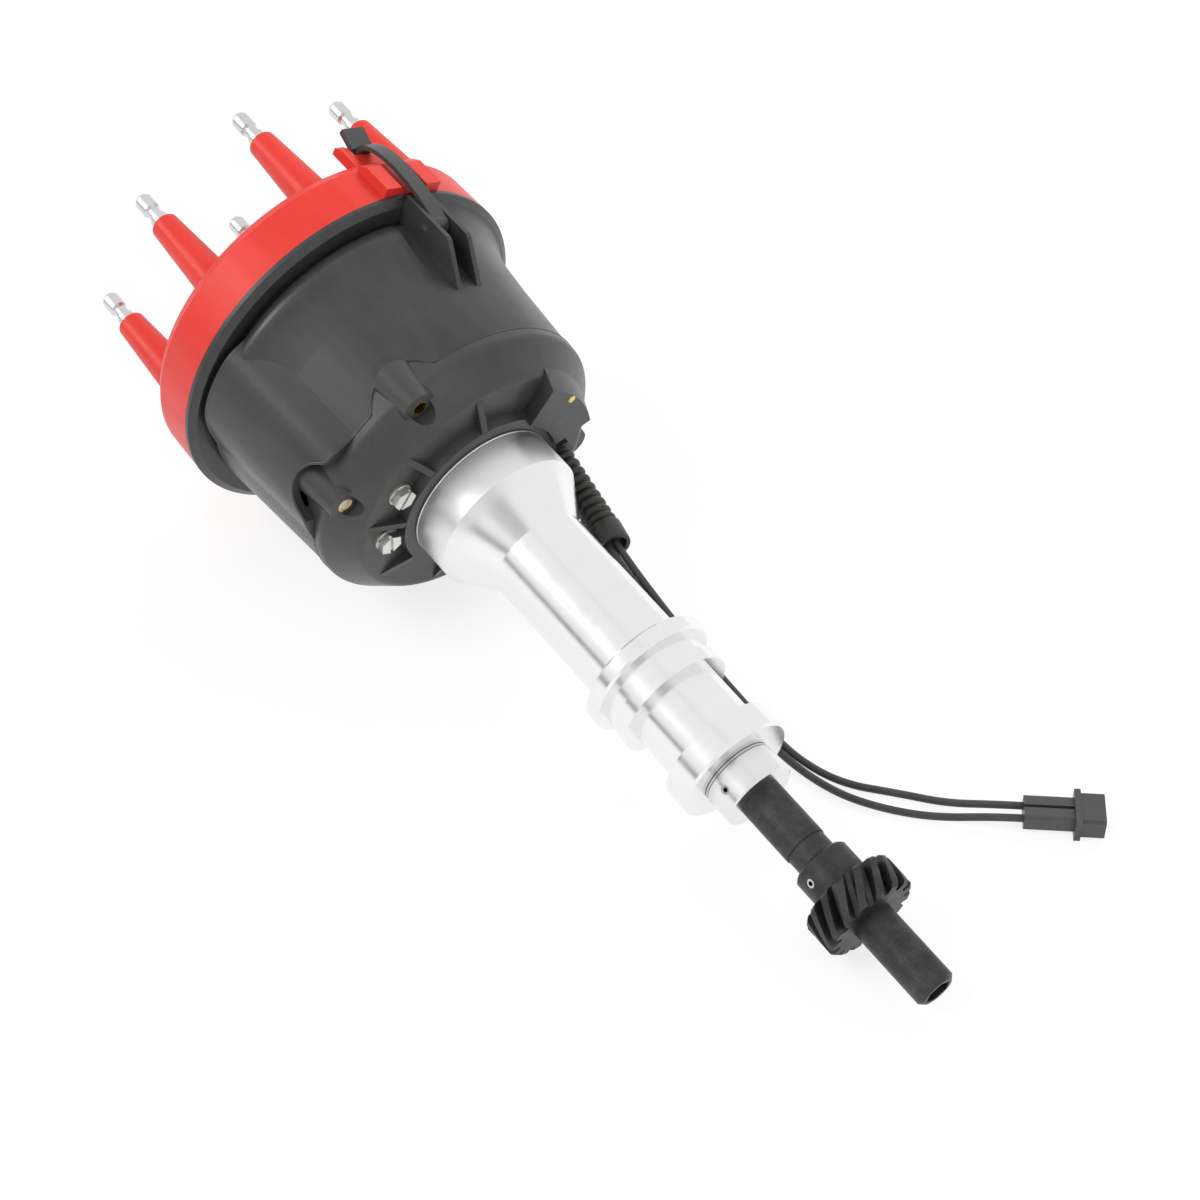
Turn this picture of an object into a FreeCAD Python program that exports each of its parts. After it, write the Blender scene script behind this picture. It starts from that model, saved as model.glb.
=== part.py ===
import FreeCAD
import Part
import math
import os
from FreeCAD import Placement, Rotation, Vector

# Ignition distributor for a V8 engine, lying on a bench as it would be photographed.
#
# Every piece is drawn upright about the shaft axis: Z runs up the shaft, from the drive
# gear to the cap, and Z = 0 is the lower face of the housing's pilot flange. Angles are
# counted about that axis from the side that faces up when the distributor lies down.
# At the end one turn lays the whole assembly on its side, resting on the lower latch's
# ears and on the drive gear. Lengths are in millimetres.

# fits and gaps
RUN_FIT = 0.05           # radial clearance of a shaft in its bearing surface
END_PLAY = 0.15          # axial play of a turning piece against a fixed one
SLIP = 0.4               # clearance of loose moving pieces
EASY = 0.15              # clearance of a screw in its hole

# main shaft
SHAFT_R = 7.1
SHAFT_TIP_R = 6.745      # turned down below the gear, to reach the oil pump drive
SHAFT_END_Z = -91.4
SHAFT_STEP_Z = -32.3
SHAFT_TIP_CHAMFER = 1.4
HEX_SOCKET_AF = 7.94     # five sixteenths drive rod
HEX_SOCKET_DEPTH = 16.0
SHAFT_BEARING_R = 7.5
SHAFT_NOSE_R = 6.0       # upper end, inside the advance sleeve
SHAFT_NOSE_Z = 137.0
SHAFT_TOP_Z = 169.0

# drive gear and thrust collar
GEAR_R = 15.88
GEAR_ROOT_R = 12.6
GEAR_TEETH = 15
GEAR_TOP_Z = -50.6
GEAR_LOW_Z = -62.6
GEAR_HELIX = 2.31        # degrees of twist per millimetre
GEAR_HUB_R = 9.45
GEAR_HUB_Z = -38.8
GEAR_PIN_Z = -43.8
GEAR_PIN_ANGLE = -71.4
COLLAR_R = 12.25
COLLAR_LENGTH = 10.4
COLLAR_PIN_Z = -5.7
COLLAR_PIN_ANGLE = -60.1
ROLL_PIN_R = 1.5
ROLL_PIN_BORE_R = 0.8
THRUST_WASHER = 0.7

# housing
PILOT_R = 19.84
PILOT_LENGTH = 9.5
WAIST_R = 15.75
RING2_R = 19.8
RING2_LOW_Z = 29.4
RING2_TOP_Z = 34.5
GROOVE_R = 18.7
SHOULDER_R = 22.3
SHOULDER_LOW_Z = 40.4
SHOULDER_TOP_Z = 46.3
BARREL_R = 16.85
CONE_LOW_Z = 99.2
HEAD_R = 26.3
HEAD_LOW_Z = 114.4
HEAD_TOP_Z = 129.4
BORE_R = 8.3
BUSHING_R = 9.5
BUSHING_LENGTH = 24.0
HOUSING_EDGE = 0.8

# ball bearing in the housing head
BEARING_OUTER_R = 16.0
BEARING_WIDTH = 9.0
BEARING_LOW_Z = 118.2
RACE_WALL = 2.4
BALL_R = 2.38
BALL_COUNT = 9
RETAINER = 1.1           # thickness of the spring rings
RETAINER_BITE = 0.8

# lower bowl
RIM_R = 64.8             # the adapter's widest edge, which the cap and its latches follow
CONE_TOP_R = RIM_R - 7.5
BOWL_R = CONE_TOP_R - 3.7
BOWL_WALL = 3.3
BOWL_BORE_R = 17.6
BOWL_HUB_R = 30.5
BOWL_FLOOR_LOW_Z = 133.2
BOWL_FLOOR_TOP_Z = 136.0
BOWL_FLAT_R = BOWL_R - 9.0           # where the flat floor ends and the slanted side begins
BOWL_SLANT_TOP_Z = 143.3
BOWL_SLANT_IN = 5.0      # the slant's reach on the inside
BOWL_EDGE_ROUND = 3.0
SEAM_Z = 146.7
SPIGOT_HEIGHT = 3.8
SPIGOT_WALL = 1.9
GUSSET_COUNT = 9
GUSSET_ANGLE = -3.0
GUSSET_THICK = 2.2
PAD_LOW_Z = 127.8
PAD_R = BOWL_FLAT_R - 1.0
PAD_SLANT = 3.2
PAD_FROM = 33.0
PAD_TO = 76.0
PAD_WALL = 2.2

# screw bosses that join the bowl and the adapter
BOSS_ANGLES = (-25.0, -72.0, 109.0, 155.0)
SCREWED_BOSSES = (-72.0, 109.0, 155.0)
BOSS_CIRCLE_R = BOWL_R - 3.8
BOSS_END_R = 5.8         # the boss widens from its end to its foot under the arch
BOSS_FOOT_R = 7.8
BOSS_LOW_Z = 139.2
BOSS_TOP_Z = 150.5
BOSS_SPOT_R = 4.0        # flat sunk round the insert, in the bowl's slanted side
ARCH_RISE = 7.8
ARCH_HALF = 12.5
INSERT_R = 2.8
INSERT_LENGTH = 8.0
BOSS_SCREW_R = 2.25
LUG_R = 4.6
LUG_TOP_Z = 157.5
PAN_HEAD_R = 3.4
PAN_HEAD_HEIGHT = 1.9

# hex screws under the bowl that carry the pickup plate
HEX_SCREW_ANGLES = (-62.0, -95.0, 138.0, 178.0)
HEX_SCREW_CIRCLE_R = 35.7
HEX_SCREW_R = 2.1
HEX_HEAD_AF = 7.0
HEX_HEAD_HEIGHT = 3.0
WASHER_R = 4.1
WASHER = 0.9

# screws through the bowl into the housing head
HEAD_SCREW_COUNT = 3
HEAD_SCREW_CIRCLE_R = 21.2
HEAD_SCREW_ANGLE = 15.0
HEAD_SCREW_DEPTH = 8.0

# cap adapter
RIM_SLANT = 2.6          # the rim's underside slants out to its thin edge
RIM_EDGE = 1.4
RIM_LOW_Z = 200.8
RIM_TOP_Z = 203.9
ADAPTER_WALL = 2.8
NECK_Z = 198.0           # top of the cone, before the groove under the rim
NECK_STEP = 1.8
LIP_R = RIM_R - 3.8
LIP_WALL = 2.0
LIP_TOP_Z = 207.0
LOBE_FOOT_FROM = -43.0
LOBE_FOOT_TO = -101.0
LOBE_OUTLINE = ((0.0, 0.0), (0.09, 0.13), (0.17, 0.46), (0.24, 0.79), (0.31, 0.94),
                (0.42, 1.0), (0.54, 1.0), (0.66, 0.9), (0.79, 0.56), (0.9, 0.2), (1.0, 0.0))
LOBE_OUT_TOP = 5.3
LOBE_OUT_LOW = 5.3
VENT_R = 2.6

# distributor cap
SKIRT_LOW_R = RIM_R - 0.1
SKIRT_TOP_R = SKIRT_LOW_R - 0.4
SKIRT_TOP_Z = 219.4
CREASE_R = SKIRT_TOP_R - 3.4
CREASE_Z = 223.6
CROWN_Z = 226.0
CAP_WALL = 3.2
TOWER_COUNT = 8
TOWER_BASE_R = 6.7
TOWER_CIRCLE_R = CREASE_R - TOWER_BASE_R
TOWER_ANGLE = -2.8
TOWER_TOP_R = 4.7
TOWER_TOP_Z = 253.9
COIL_TOWER_TOP_Z = 259.4
TOWER_EDGE = 1.3
RIB_THICK = 2.4
RIB_RISE = 3.0
CAP_BOSS_R = 5.6
BRUSH_BOSS_R = 5.0
BRUSH_BOSS_LOW_Z = 216.2

# terminals
STUD_R = 3.0
STUD_NECK_R = 2.3
STUD_LENGTH = 13.6
STUD_COLLAR = 3.4
STUD_NECK = 3.2
ROD_R = 2.2
ELECTRODE_FACE_R = TOWER_CIRCLE_R - 7.6
ELECTRODE_WIDTH = 5.6
ELECTRODE_LOW_Z = 207.4
ELECTRODE_HEIGHT = 6.0

# latches
LATCH_ANGLE = 19.7
LATCH_WIDTH = 5.8
LATCH_THICK = 1.5
LATCH_R = RIM_R + 4.1    # outer face of the strap, where it stands out most
LATCH_BOW_Z = 213.0
LATCH_HOOK_Z = 230.4
LATCH_HOOK_TIP_R = CREASE_R - 0.5
TAB_WIDTH = 9.0
TAB_TOP_Z = 238.0
TAB_THICK = 2.0
PIVOT_R = RIM_R - 2.4
PIVOT_Z = 189.6
EYE_R = 3.0
PIVOT_PIN_R = 1.3
EAR_THICK = 1.8
EAR_R = PIVOT_R + 3.6
EAR_CORNER_Z = 180.0
EAR_ROOT_Z = 165.5
GUIDE_GAP = 5.3          # from the strap's middle to the guide on the skirt
GUIDE_WIDTH = 6.2
POST_GAP = 4.8
POST_WIDTH = 3.6
POST_OUTER_R = CREASE_R + 1.1
POST_INNER_R = POST_OUTER_R - 3.6
POST_TOP_Z = 234.0
GUIDE_R = RIM_R + 2.4
GUIDE_TOP_Z = 218.6
LEDGE_TOP_Z = 228.5

# advance mechanism, angles counted from the first weight's pin unless said
SLEEVE_R = 9.0
SLEEVE_TOP_Z = 158.0
RELUCTOR_R = 24.0
RELUCTOR_HUB_R = 14.5
RELUCTOR_PADDLES = 8
RELUCTOR_PADDLE_WIDTH = 5.2
RELUCTOR_LOW_Z = 143.5
RELUCTOR_HEIGHT = 8.0
PLATE_THICK = 2.4
PLATE_LOW_Z = 156.4
PLATE_R = 27.4
PLATE_WIDTH = 40.0
WEIGHT_PIN_CIRCLE_R = 22.0
WEIGHT_PIN_R = 2.0
WEIGHT_PIN_ANGLE = 10.0  # of the first pin, about the shaft axis
WEIGHT_PIN_RISE = 4.4
WEIGHT_THICK = 5.0
WEIGHT_HEAD_R = 5.0
WEIGHT_OUTER_R = 30.0
WEIGHT_SLIM_R = 26.5
WEIGHT_INNER_R = 19.5
WEIGHT_TAIL_ANGLE = -126.0
WEIGHT_HEAVY_ARC = 78.0
NOSE_X = 11.0            # rest place of the nose that pushes the cam
NOSE_Y = -6.0
NOSE_R = 1.7
CAM_GAP = 0.12
CAM_THICK = 5.0
CAM_R = 9.4
CAM_LOBE_REACH = 15.4
SPRING_POST_X = 12.2
SPRING_POST_Y = -9.9
SPRING_POST_R = 1.2
SPRING_COIL_R = 2.0
SPRING_WIRE_R = 0.45
STOP_PIN_R = 1.6
STOP_BUSHING_R = 2.6
STOP_CIRCLE_R = 13.6
STOP_ANGLE = 33.0
ADVANCE_RANGE = 10.5     # turn of the sleeve ahead of the shaft
WEIGHT_RATIO = 1.0       # swing of a weight for each degree of advance
NUT_AF = 15.0
NUT_HEIGHT = 3.0

# rotor
ROTOR_LEG_R = 5.0
ROTOR_LEG_CIRCLE_R = 22.0
ROTOR_LEG_ANGLE = 43.0   # about the shaft axis
ROTOR_DISC_R = 28.0
ROTOR_DISC_LOW_Z = 171.5
ROTOR_DISC_THICK = 3.5
ROTOR_STEM_R = 11.0
ROTOR_STEM_TOP_R = 8.5
ROTOR_TOP_Z = 209.0
ROTOR_ARM_WIDTH = 13.0
ROTOR_ARM_THICK = 5.0
ROTOR_ARM_R = 41.0
ROTOR_ARM_ANGLE = 42.2
ROTOR_TIP_R = ELECTRODE_FACE_R - 0.9
ROTOR_TIP_WIDTH = 9.0
ROTOR_BLADE = 1.4
ROTOR_BUTTON_R = 4.2
ROTOR_BUTTON_TOP_Z = 212.6
ROTOR_SCREW_R = 1.7
ROTOR_SCREW_HEAD_R = 3.4
ROTOR_SCREW_HEAD = 2.2

# carbon brush
BRUSH_R = 2.6
BRUSH_TOP_Z = 223.4
BRUSH_BORE_TOP_Z = 232.0
BRUSH_TRAVEL = 1.5
BRUSH_SPRING_R = 2.1
BRUSH_WIRE_R = 0.3

# pickup
PICKUP_ANGLE = 58.0
PICKUP_PLATE_R = 42.5
PICKUP_PLATE_BORE_R = 27.5
PICKUP_PLATE = 2.0
PICKUP_BRACKET = 1.6
PICKUP_Z = 147.6
POLE_GAP = 0.8
POLE_WIDTH = 4.0
POLE_HEIGHT = 6.0
POLE_END_R = 40.6
COIL_R = 6.2
COIL_FLANGE_R = 7.2
COIL_FROM_R = 27.4
COIL_TO_R = 36.6
COIL_FLANGE = 1.2
MAGNET_LENGTH = 4.2
MAGNET_WIDTH = 9.0
MAGNET_HEIGHT = 9.0

# rubber boot of the pickup lead
BOOT_ANGLE = 98.5
BOOT_CIRCLE_R = 34.4
BOOT_NECK_R = 3.8
BOOT_HEX_AF = 10.0
BOOT_BEND = (33.6, 104.0, 118.0)     # radius, angle, height of the bend
BOOT_END = (26.3, 103.0, 91.0)       # radius, angle, height of the open end
BOOT_TOP_R = 4.6
BOOT_CUFF_R = 6.0
BOOT_CUFF_LENGTH = 9.0
BOOT_MOUTH = 3.0         # depth of the cuff's open end
BOOT_CORE_R = 3.6
BOOT_RIBS = 7

# pickup lead and its connector, on the bench
WIRE_R = 1.25
WIRE_GAP = 0.3           # between the two insulated wires where they run together
CONNECTOR_REAR = (15.6, 9.8, 6.4)    # length, width, height
CONNECTOR_FLANGE = (2.0, 13.8, 8.8)
CONNECTOR_NOSE = (7.4, 12.6, 8.0)
CONNECTOR_ANGLE = 47.0
CONNECTOR_FOOT = (53.9, 72.1)        # middle of its rear face, along and across
CONTACT_PITCH = 5.1
CONTACT_R = 0.9

AXIS = Vector(0, 0, 1)
ORIGIN = Vector(0, 0, 0)
UPRIGHT = math.radians(90.0)


def polar(r, degrees, z=0.0):
    a = math.radians(degrees)
    return Vector(r * math.cos(a), r * math.sin(a), z)


def disc(r, low, high):
    return Part.makeCylinder(r, high - low, Vector(0, 0, low))


def ring(r_out, r_in, low, high):
    return disc(r_out, low, high).cut(disc(r_in, low - 1, high + 1))


def profile_face(points):
    corners = [Vector(r, 0, z) for r, z in points]
    corners.append(corners[0])
    return Part.Face(Part.makePolygon(corners))


def turned(points, sweep=360.0):
    # a closed outline of (radius, height) corners, turned about the shaft axis
    return profile_face(points).revolve(ORIGIN, AXIS, sweep)


def slab(points, width):
    # a closed outline of (radius, height) corners, made as thick as width across
    face = profile_face(points)
    face.translate(Vector(0, -width / 2.0, 0))
    return face.extrude(Vector(0, width, 0))


def plate(points, low, high):
    # a closed outline of (x, y) corners, standing between two heights
    corners = [Vector(x, y, low) for x, y in points]
    corners.append(corners[0])
    return Part.Face(Part.makePolygon(corners)).extrude(Vector(0, 0, high - low))


def block(r_in, r_out, width, low, high):
    size = Vector(r_out - r_in, width, high - low)
    return Part.makeBox(size.x, size.y, size.z, Vector(r_in, -width / 2.0, low))


def turn(shape, degrees):
    copy = shape.copy()
    copy.rotate(ORIGIN, AXIS, degrees)
    return copy


def around(shape, count, start=0.0):
    return [turn(shape, start + 360.0 * k / count) for k in range(count)]


def at_angles(shape, angles):
    return [turn(shape, a) for a in angles]


def rod(start, end, r):
    way = end.sub(start)
    return Part.makeCylinder(r, way.Length, start, way)


def taper(start, end, r_start, r_end):
    way = end.sub(start)
    return Part.makeCone(r_start, r_end, way.Length, start, way)


def hexagon(across_flats, low, high):
    r = across_flats / math.sqrt(3.0)
    corners = [(polar(r, 60.0 * k).x, polar(r, 60.0 * k).y) for k in range(6)]
    return plate(corners, low, high)


def joined(shapes):
    first = shapes[0]
    return first.fuse(shapes[1:]).removeSplitter()


def without(shape, tools):
    return shape.cut(tools)


def circle_edges(shape, r, z):
    # the full circles of one radius at one height
    found = []
    for edge in shape.Edges:
        curve = edge.Curve
        if curve.TypeId != "Part::GeomCircle" or abs(curve.Radius - r) > 0.02:
            continue
        if abs(curve.Center.z - z) < 0.02 and math.hypot(curve.Center.x, curve.Center.y) < 0.02:
            found.append(edge)
    return found


def seam_face_r(z):
    # outer radius of the adapter's cone at one height
    share = (z - SEAM_Z) / (RIM_LOW_Z - SEAM_Z)
    return BOWL_R - 0.3 + share * (CONE_TOP_R - BOWL_R + 0.3)


def shaft_housing():
    seat_z = BEARING_LOW_Z
    snap_z = BEARING_LOW_Z + BEARING_WIDTH
    body = turned([
        (BORE_R, 0), (PILOT_R - HOUSING_EDGE, 0), (PILOT_R, HOUSING_EDGE),
        (PILOT_R, PILOT_LENGTH), (WAIST_R, PILOT_LENGTH), (WAIST_R, RING2_LOW_Z),
        (RING2_R, RING2_LOW_Z), (RING2_R, RING2_TOP_Z), (GROOVE_R, RING2_TOP_Z),
        (GROOVE_R, SHOULDER_LOW_Z), (SHOULDER_R - HOUSING_EDGE, SHOULDER_LOW_Z),
        (SHOULDER_R, SHOULDER_LOW_Z + HOUSING_EDGE),
        (SHOULDER_R, SHOULDER_TOP_Z - HOUSING_EDGE),
        (SHOULDER_R - HOUSING_EDGE, SHOULDER_TOP_Z), (BARREL_R, SHOULDER_TOP_Z),
        (BARREL_R, CONE_LOW_Z), (HEAD_R, HEAD_LOW_Z), (HEAD_R, HEAD_TOP_Z - HOUSING_EDGE),
        (HEAD_R - HOUSING_EDGE, HEAD_TOP_Z), (BORE_R, HEAD_TOP_Z)])
    bushing_seat = disc(BUSHING_R, -1, BUSHING_LENGTH)
    bearing_seat = disc(BEARING_OUTER_R, seat_z, HEAD_TOP_Z + 1)
    relief = disc(BEARING_OUTER_R - RACE_WALL - 0.6, seat_z - 2.5, seat_z + 1)
    snap_groove = ring(BEARING_OUTER_R + RETAINER_BITE, SHAFT_R, snap_z, snap_z + RETAINER)
    hole = rod(Vector(HEAD_SCREW_CIRCLE_R, 0, HEAD_TOP_Z - HEAD_SCREW_DEPTH - 1),
               Vector(HEAD_SCREW_CIRCLE_R, 0, HEAD_TOP_Z + 1), HEX_SCREW_R)
    holes = around(hole, HEAD_SCREW_COUNT, HEAD_SCREW_ANGLE)
    return without(body, [bushing_seat, bearing_seat, relief, snap_groove] + holes)


def lower_bushing():
    return ring(BUSHING_R, SHAFT_R + RUN_FIT, 0, BUSHING_LENGTH)


def bearing_middle():
    return BEARING_LOW_Z + BEARING_WIDTH / 2.0


def ball_circle_r():
    return (BEARING_OUTER_R + SHAFT_BEARING_R) / 2.0


def ball_track():
    return Part.makeTorus(ball_circle_r(), BALL_R + RUN_FIT, Vector(0, 0, bearing_middle()))


def bearing_outer_race():
    body = ring(BEARING_OUTER_R, BEARING_OUTER_R - RACE_WALL, BEARING_LOW_Z,
                BEARING_LOW_Z + BEARING_WIDTH)
    return without(body, [ball_track()])


def bearing_inner_race():
    body = ring(SHAFT_BEARING_R + RACE_WALL, SHAFT_BEARING_R, BEARING_LOW_Z,
                BEARING_LOW_Z + BEARING_WIDTH)
    return without(body, [ball_track()])


def bearing_balls():
    ball = Part.makeSphere(BALL_R, Vector(ball_circle_r(), 0, bearing_middle()))
    return Part.makeCompound(around(ball, BALL_COUNT))


def bearing_cage():
    middle = bearing_middle()
    wall = 0.5
    band = ring(ball_circle_r() + wall, ball_circle_r() - wall, middle - BALL_R - 0.8,
                middle + BALL_R + 0.8)
    pocket = rod(Vector(ball_circle_r() - 2, 0, middle), Vector(ball_circle_r() + 2, 0, middle),
                 BALL_R + RUN_FIT)
    return without(band, around(pocket, BALL_COUNT))


def snap_ring(r_out, r_in, low, gap_side):
    # a spring ring, open on one side
    band = ring(r_out, r_in, low, low + RETAINER)
    gap = block(0, r_out + 2, 5.0, low - 1, low + RETAINER + 1)
    return without(band, [turn(gap, gap_side)])


def housing_snap_ring():
    low = BEARING_LOW_Z + BEARING_WIDTH
    return snap_ring(BEARING_OUTER_R + RETAINER_BITE - 0.1, BEARING_OUTER_R - 1.6, low, 60.0)


def shaft_snap_ring():
    low = BEARING_LOW_Z + BEARING_WIDTH
    return snap_ring(SHAFT_BEARING_R + 1.4, SHAFT_BEARING_R - RETAINER_BITE, low, 150.0)


def mainshaft():
    snap_z = BEARING_LOW_Z + BEARING_WIDTH
    body = turned([
        (0, SHAFT_END_Z), (SHAFT_TIP_R - SHAFT_TIP_CHAMFER, SHAFT_END_Z),
        (SHAFT_TIP_R, SHAFT_END_Z + SHAFT_TIP_CHAMFER), (SHAFT_TIP_R, SHAFT_STEP_Z),
        (SHAFT_R, SHAFT_STEP_Z), (SHAFT_R, BEARING_LOW_Z - 4.0),
        (SHAFT_BEARING_R, BEARING_LOW_Z - 4.0), (SHAFT_BEARING_R, snap_z + RETAINER + 1.5),
        (SHAFT_R, snap_z + RETAINER + 1.5), (SHAFT_R, SHAFT_NOSE_Z),
        (SHAFT_NOSE_R, SHAFT_NOSE_Z), (SHAFT_NOSE_R, SHAFT_TOP_Z), (0, SHAFT_TOP_Z)])
    socket = hexagon(HEX_SOCKET_AF, SHAFT_END_Z - 1, SHAFT_END_Z + HEX_SOCKET_DEPTH)
    groove = ring(SHAFT_BEARING_R + 1, SHAFT_BEARING_R - RETAINER_BITE, snap_z,
                  snap_z + RETAINER)
    return without(body, [socket, groove, pin_hole(GEAR_PIN_Z, GEAR_PIN_ANGLE),
                          pin_hole(COLLAR_PIN_Z, COLLAR_PIN_ANGLE)])


def pin_hole(z, angle):
    reach = COLLAR_R + 2
    return turn(rod(Vector(-reach, 0, z), Vector(reach, 0, z), ROLL_PIN_R), angle)


def roll_pin(z, angle, r):
    # a rolled spring pin, a little shorter than the piece that it crosses
    half = r - 0.25
    body = rod(Vector(-half, 0, z), Vector(half, 0, z), ROLL_PIN_R)
    bore = rod(Vector(-half - 1, 0, z), Vector(half + 1, 0, z), ROLL_PIN_BORE_R)
    return turn(without(body, [bore]), angle)


def thrust_washer():
    return ring(COLLAR_R - 0.2, SHAFT_R, -END_PLAY - THRUST_WASHER, -END_PLAY)


def collar_top():
    return -END_PLAY - THRUST_WASHER


def thrust_collar():
    top = collar_top()
    body = turned([(SHAFT_R, top - COLLAR_LENGTH), (COLLAR_R - 0.5, top - COLLAR_LENGTH),
                   (COLLAR_R, top - COLLAR_LENGTH + 0.5), (COLLAR_R, top - 0.5),
                   (COLLAR_R - 0.5, top), (SHAFT_R, top)])
    return without(body, [pin_hole(COLLAR_PIN_Z, COLLAR_PIN_ANGLE)])


def drive_gear():
    # helical teeth, cut as one twisted space patterned round a turned blank
    chamfer = 1.0
    blank = turned([
        (SHAFT_TIP_R, GEAR_LOW_Z), (GEAR_R - chamfer, GEAR_LOW_Z),
        (GEAR_R, GEAR_LOW_Z + chamfer), (GEAR_R, GEAR_TOP_Z - chamfer),
        (GEAR_R - chamfer, GEAR_TOP_Z), (GEAR_HUB_R + 1.2, GEAR_TOP_Z + 0.6),
        (GEAR_HUB_R, GEAR_TOP_Z + 1.6),
        (GEAR_HUB_R, GEAR_HUB_Z - 0.8), (GEAR_HUB_R - 0.8, GEAR_HUB_Z),
        (SHAFT_TIP_R, GEAR_HUB_Z)])
    pitch = 360.0 / GEAR_TEETH
    low = GEAR_LOW_Z - 1.0
    high = GEAR_TOP_Z + 2.2
    sections = []
    steps = 6
    for k in range(steps + 1):
        z = low + (high - low) * k / steps
        mid = GEAR_HELIX * (z - GEAR_TOP_Z)
        corners = [
            polar(GEAR_ROOT_R, mid - 0.17 * pitch, z), polar(GEAR_R + 0.8, mid - 0.31 * pitch, z),
            polar(GEAR_R + 0.8, mid + 0.31 * pitch, z), polar(GEAR_ROOT_R, mid + 0.17 * pitch, z)]
        corners.append(corners[0])
        sections.append(Part.makePolygon(corners))
    space = Part.makeLoft(sections, True, True)
    spaces = around(space, GEAR_TEETH, 0.5 * pitch)
    return without(blank, spaces + [pin_hole(GEAR_PIN_Z, GEAR_PIN_ANGLE)])


def arch_prism(r_in, r_out, grow=0.0):
    # an arch over a screw boss, seen from outside and carried straight in
    low = Vector(r_in, -ARCH_HALF - grow, SEAM_Z)
    top = Vector(r_in, 0, SEAM_Z + ARCH_RISE + grow)
    high = Vector(r_in, ARCH_HALF + grow, SEAM_Z)
    curve = Part.Arc(low, top, high).toShape()
    drop = Vector(0, 0, -2.0)
    sides = Part.makePolygon([high, high.add(drop), low.add(drop), low])
    face = Part.Face(Part.Wire([curve] + sides.Edges))
    return face.extrude(Vector(r_out - r_in, 0, 0))


def boss_form():
    # a cone that widens from the boss's end to the top of the arch
    return taper(Vector(BOSS_CIRCLE_R, 0, BOSS_LOW_Z),
                 Vector(BOSS_CIRCLE_R, 0, SEAM_Z + ARCH_RISE), BOSS_END_R, BOSS_FOOT_R)


def boss_screw_hole(low, high, r):
    return rod(Vector(BOSS_CIRCLE_R, 0, low), Vector(BOSS_CIRCLE_R, 0, high), r)


def hex_screw_axis(low, high, r):
    return rod(Vector(HEX_SCREW_CIRCLE_R, 0, low), Vector(HEX_SCREW_CIRCLE_R, 0, high), r)


def sector(points, start, end):
    return turn(turned(points, end - start), start)


def bowl_shell():
    inner = BOWL_R - BOWL_WALL
    outer = turned([
        (BOWL_BORE_R, HEAD_TOP_Z), (BOWL_HUB_R, HEAD_TOP_Z),
        (BOWL_HUB_R + 0.6, BOWL_FLOOR_LOW_Z), (BOWL_FLAT_R, BOWL_FLOOR_LOW_Z),
        (BOWL_R, BOWL_SLANT_TOP_Z),
        (BOWL_R, SEAM_Z), (inner, SEAM_Z), (inner, SEAM_Z + SPIGOT_HEIGHT),
        (inner - SPIGOT_WALL, SEAM_Z + SPIGOT_HEIGHT),
        (inner - SPIGOT_WALL, BOWL_SLANT_TOP_Z - 1.0),
        (inner - SPIGOT_WALL - BOWL_SLANT_IN, BOWL_FLOOR_TOP_Z),
        (BOWL_BORE_R, BOWL_FLOOR_TOP_Z)])
    rounded = circle_edges(outer, BOWL_FLAT_R, BOWL_FLOOR_LOW_Z)
    rounded += circle_edges(outer, BOWL_R, BOWL_SLANT_TOP_Z)
    return outer.makeFillet(BOWL_EDGE_ROUND, rounded)


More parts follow.
